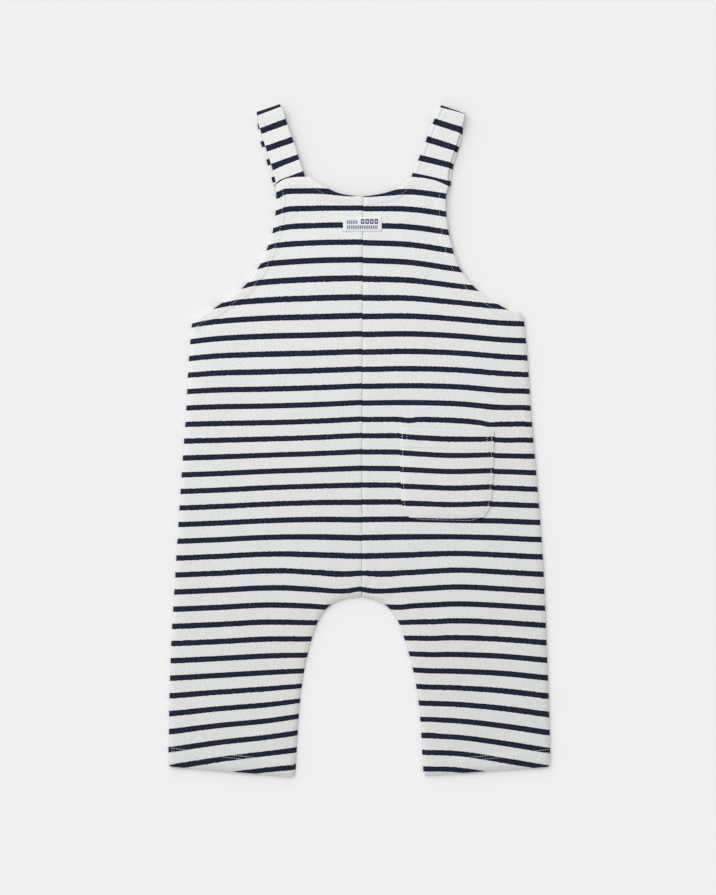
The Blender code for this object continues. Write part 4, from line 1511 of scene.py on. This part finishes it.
class DUNGAREES_OT_stage(bpy.types.Operator):
    """Lay out the ground, the lamp, the room's light and the camera"""

    bl_idname = "dungarees.stage"
    bl_label = "Stage"

    def execute(self, context):
        stage = context.scene.dungarees_stage
        bpy.ops.object.select_all(action="DESELECT")
        bpy.ops.mesh.primitive_grid_add(x_subdivisions=8, y_subdivisions=8, size=GROUND_SIZE)
        ground = context.object
        ground.name = ground.data.name = "ground"
        for vertex in ground.data.vertices:
            vertex.co.z = -GROUND_DROP
        ground.data.materials.append(pale_ground(stage))

        lamp_data = bpy.data.lights.new("window", "AREA")
        lamp_data.energy, lamp_data.size = stage.lamp, stage.lamp_size
        lamp = bpy.data.objects.new("window", lamp_data)
        lamp.location = LAMP_PLACE
        lamp.rotation_euler = (-Vector(LAMP_PLACE)).to_track_quat("-Z", "Y").to_euler()
        lamp.visible_camera = False
        context.scene.collection.objects.link(lamp)

        room = bpy.data.worlds.new("room")
        room.use_nodes = True
        light = room.node_tree.nodes["Background"]
        light.inputs["Color"].default_value = (1.0, 1.0, 1.0, 1.0)
        towards = Shade(room.node_tree).add("ShaderNodeTexCoord", output="Generated")
        lean = towards.part("X") * ROOM_LEAN[0] + towards.part("Y") * ROOM_LEAN[1] + 1.0
        room.node_tree.links.new((lean * stage.room).socket, light.inputs["Strength"])
        context.scene.world = room
        context.scene.view_settings.view_transform = "Standard"

        camera_data = bpy.data.cameras.new("camera")
        camera_data.lens, camera_data.sensor_width = stage.lens, SENSOR_WIDTH
        camera_data.clip_end = FAR_CLIP
        camera = bpy.data.objects.new("camera", camera_data)
        camera.location = (*CAMERA_OVER, stage.height)
        context.scene.collection.objects.link(camera)
        context.scene.camera = camera
        return {"FINISHED"}


class DUNGAREES_OT_fronts(bpy.types.Operator):
    """Lay the two halves of the front down"""

    bl_idname = "dungarees.fronts"
    bl_label = "Fronts"

    def execute(self, context):
        scene = context.scene
        for side in HALVES:
            piece = add_front(side, scene.dungarees_cloth.front_grid / MM)
            dress(piece, fleece_of(scene), "fleece", f"front_{side}")
        return {"FINISHED"}


class DUNGAREES_OT_backs(bpy.types.Operator):
    """Lay the two halves of the back on the front, with their cover stitch"""

    bl_idname = "dungarees.backs"
    bl_label = "Backs"

    def execute(self, context):
        scene, sewing = context.scene, context.scene.dungarees_sewing
        rows_of = {
            "leg": (model_stitch(sewing), hem_rows),
            "bib": (model_stitch(sewing, BIB_THREAD), bib_rows),
        }
        for side in HALVES:
            piece = add_back(side, scene.dungarees_cloth.back_grid / MM)
            dress(piece, fleece_of(scene), "fleece", f"back_{side}")
            height = partial(on_back, side=side)
            threads = [
                sewn(scene, f"stitches_{place}_{side}", stitch, rows(side, sewing), height)
                for place, (stitch, rows) in rows_of.items()
            ]
        return {"FINISHED"}


class DUNGAREES_OT_straps(bpy.types.Operator):
    """Fold the two shoulder straps over"""

    bl_idname = "dungarees.straps"
    bl_label = "Straps"

    def execute(self, context):
        for side in HALVES:
            piece = add_strap(side)
            dress(piece, fleece_of(context.scene), "fleece", f"strap_{side}")
        return {"FINISHED"}


class DUNGAREES_OT_pocket(bpy.types.Operator):
    """Sew the patch pocket on the right back"""

    bl_idname = "dungarees.pocket"
    bl_label = "Pocket"

    def execute(self, context):
        scene, sewing = context.scene, context.scene.dungarees_sewing
        piece = add_pocket(scene.dungarees_cloth.pocket_grid / MM)
        dress(piece, fleece_of(scene), "fleece", "back_pocket")
        rows, stitch = pocket_rows(sewing), model_stitch(sewing)
        thread = sewn(scene, "stitches_pocket", stitch, rows, on_pocket)
        return {"FINISHED"}


class DUNGAREES_OT_label(bpy.types.Operator):
    """Sew the small label across the centre seam"""

    bl_idname = "dungarees.label"
    bl_label = "Label"

    def execute(self, context):
        scene, sewing = context.scene, context.scene.dungarees_sewing
        piece = dress(add_label(), woven_label(scene.dungarees_label), "label", "back_label")
        rows, stitch = label_rows(sewing), model_stitch(sewing)
        thread = sewn(scene, "stitches_label", stitch, rows, on_label)
        return {"FINISHED"}


class DUNGAREES_PT_panel(bpy.types.Panel):
    """Makes the dungarees piece by piece"""

    bl_label = "Dungarees"
    bl_idname = "DUNGAREES_PT_panel"
    bl_space_type = "VIEW_3D"
    bl_region_type = "UI"
    bl_category = "Dungarees"

    def draw(self, context):
        for name, group in GROUPS.items():
            box = self.layout.box()
            box.label(text=group.__doc__)
            settings = getattr(context.scene, name)
            for field in group.__annotations__:
                box.prop(settings, field)
        for operator in OPERATORS:
            self.layout.operator(operator.bl_idname)


GROUPS = {
    "dungarees_cloth": DungareesCloth,
    "dungarees_fleece": DungareesFleece,
    "dungarees_sewing": DungareesSewing,
    "dungarees_label": DungareesLabel,
    "dungarees_stage": DungareesStage,
}
OPERATORS = (
    DUNGAREES_OT_stage,
    DUNGAREES_OT_fronts,
    DUNGAREES_OT_backs,
    DUNGAREES_OT_straps,
    DUNGAREES_OT_pocket,
    DUNGAREES_OT_label,
)


def register():
    for part in (*GROUPS.values(), *OPERATORS, DUNGAREES_PT_panel):
        bpy.utils.register_class(part)
    for name, group in GROUPS.items():
        setattr(bpy.types.Scene, name, PointerProperty(type=group))


def unregister():
    for name in GROUPS:
        delattr(bpy.types.Scene, name)
    for part in reversed((*GROUPS.values(), *OPERATORS, DUNGAREES_PT_panel)):
        bpy.utils.unregister_class(part)


def main():
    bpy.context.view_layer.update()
    register()
    bpy.ops.dungarees.stage()
    bpy.ops.dungarees.fronts()
    bpy.ops.dungarees.backs()
    bpy.ops.dungarees.straps()
    bpy.ops.dungarees.pocket()
    bpy.ops.dungarees.label()


if __name__ == "__main__":
    main()
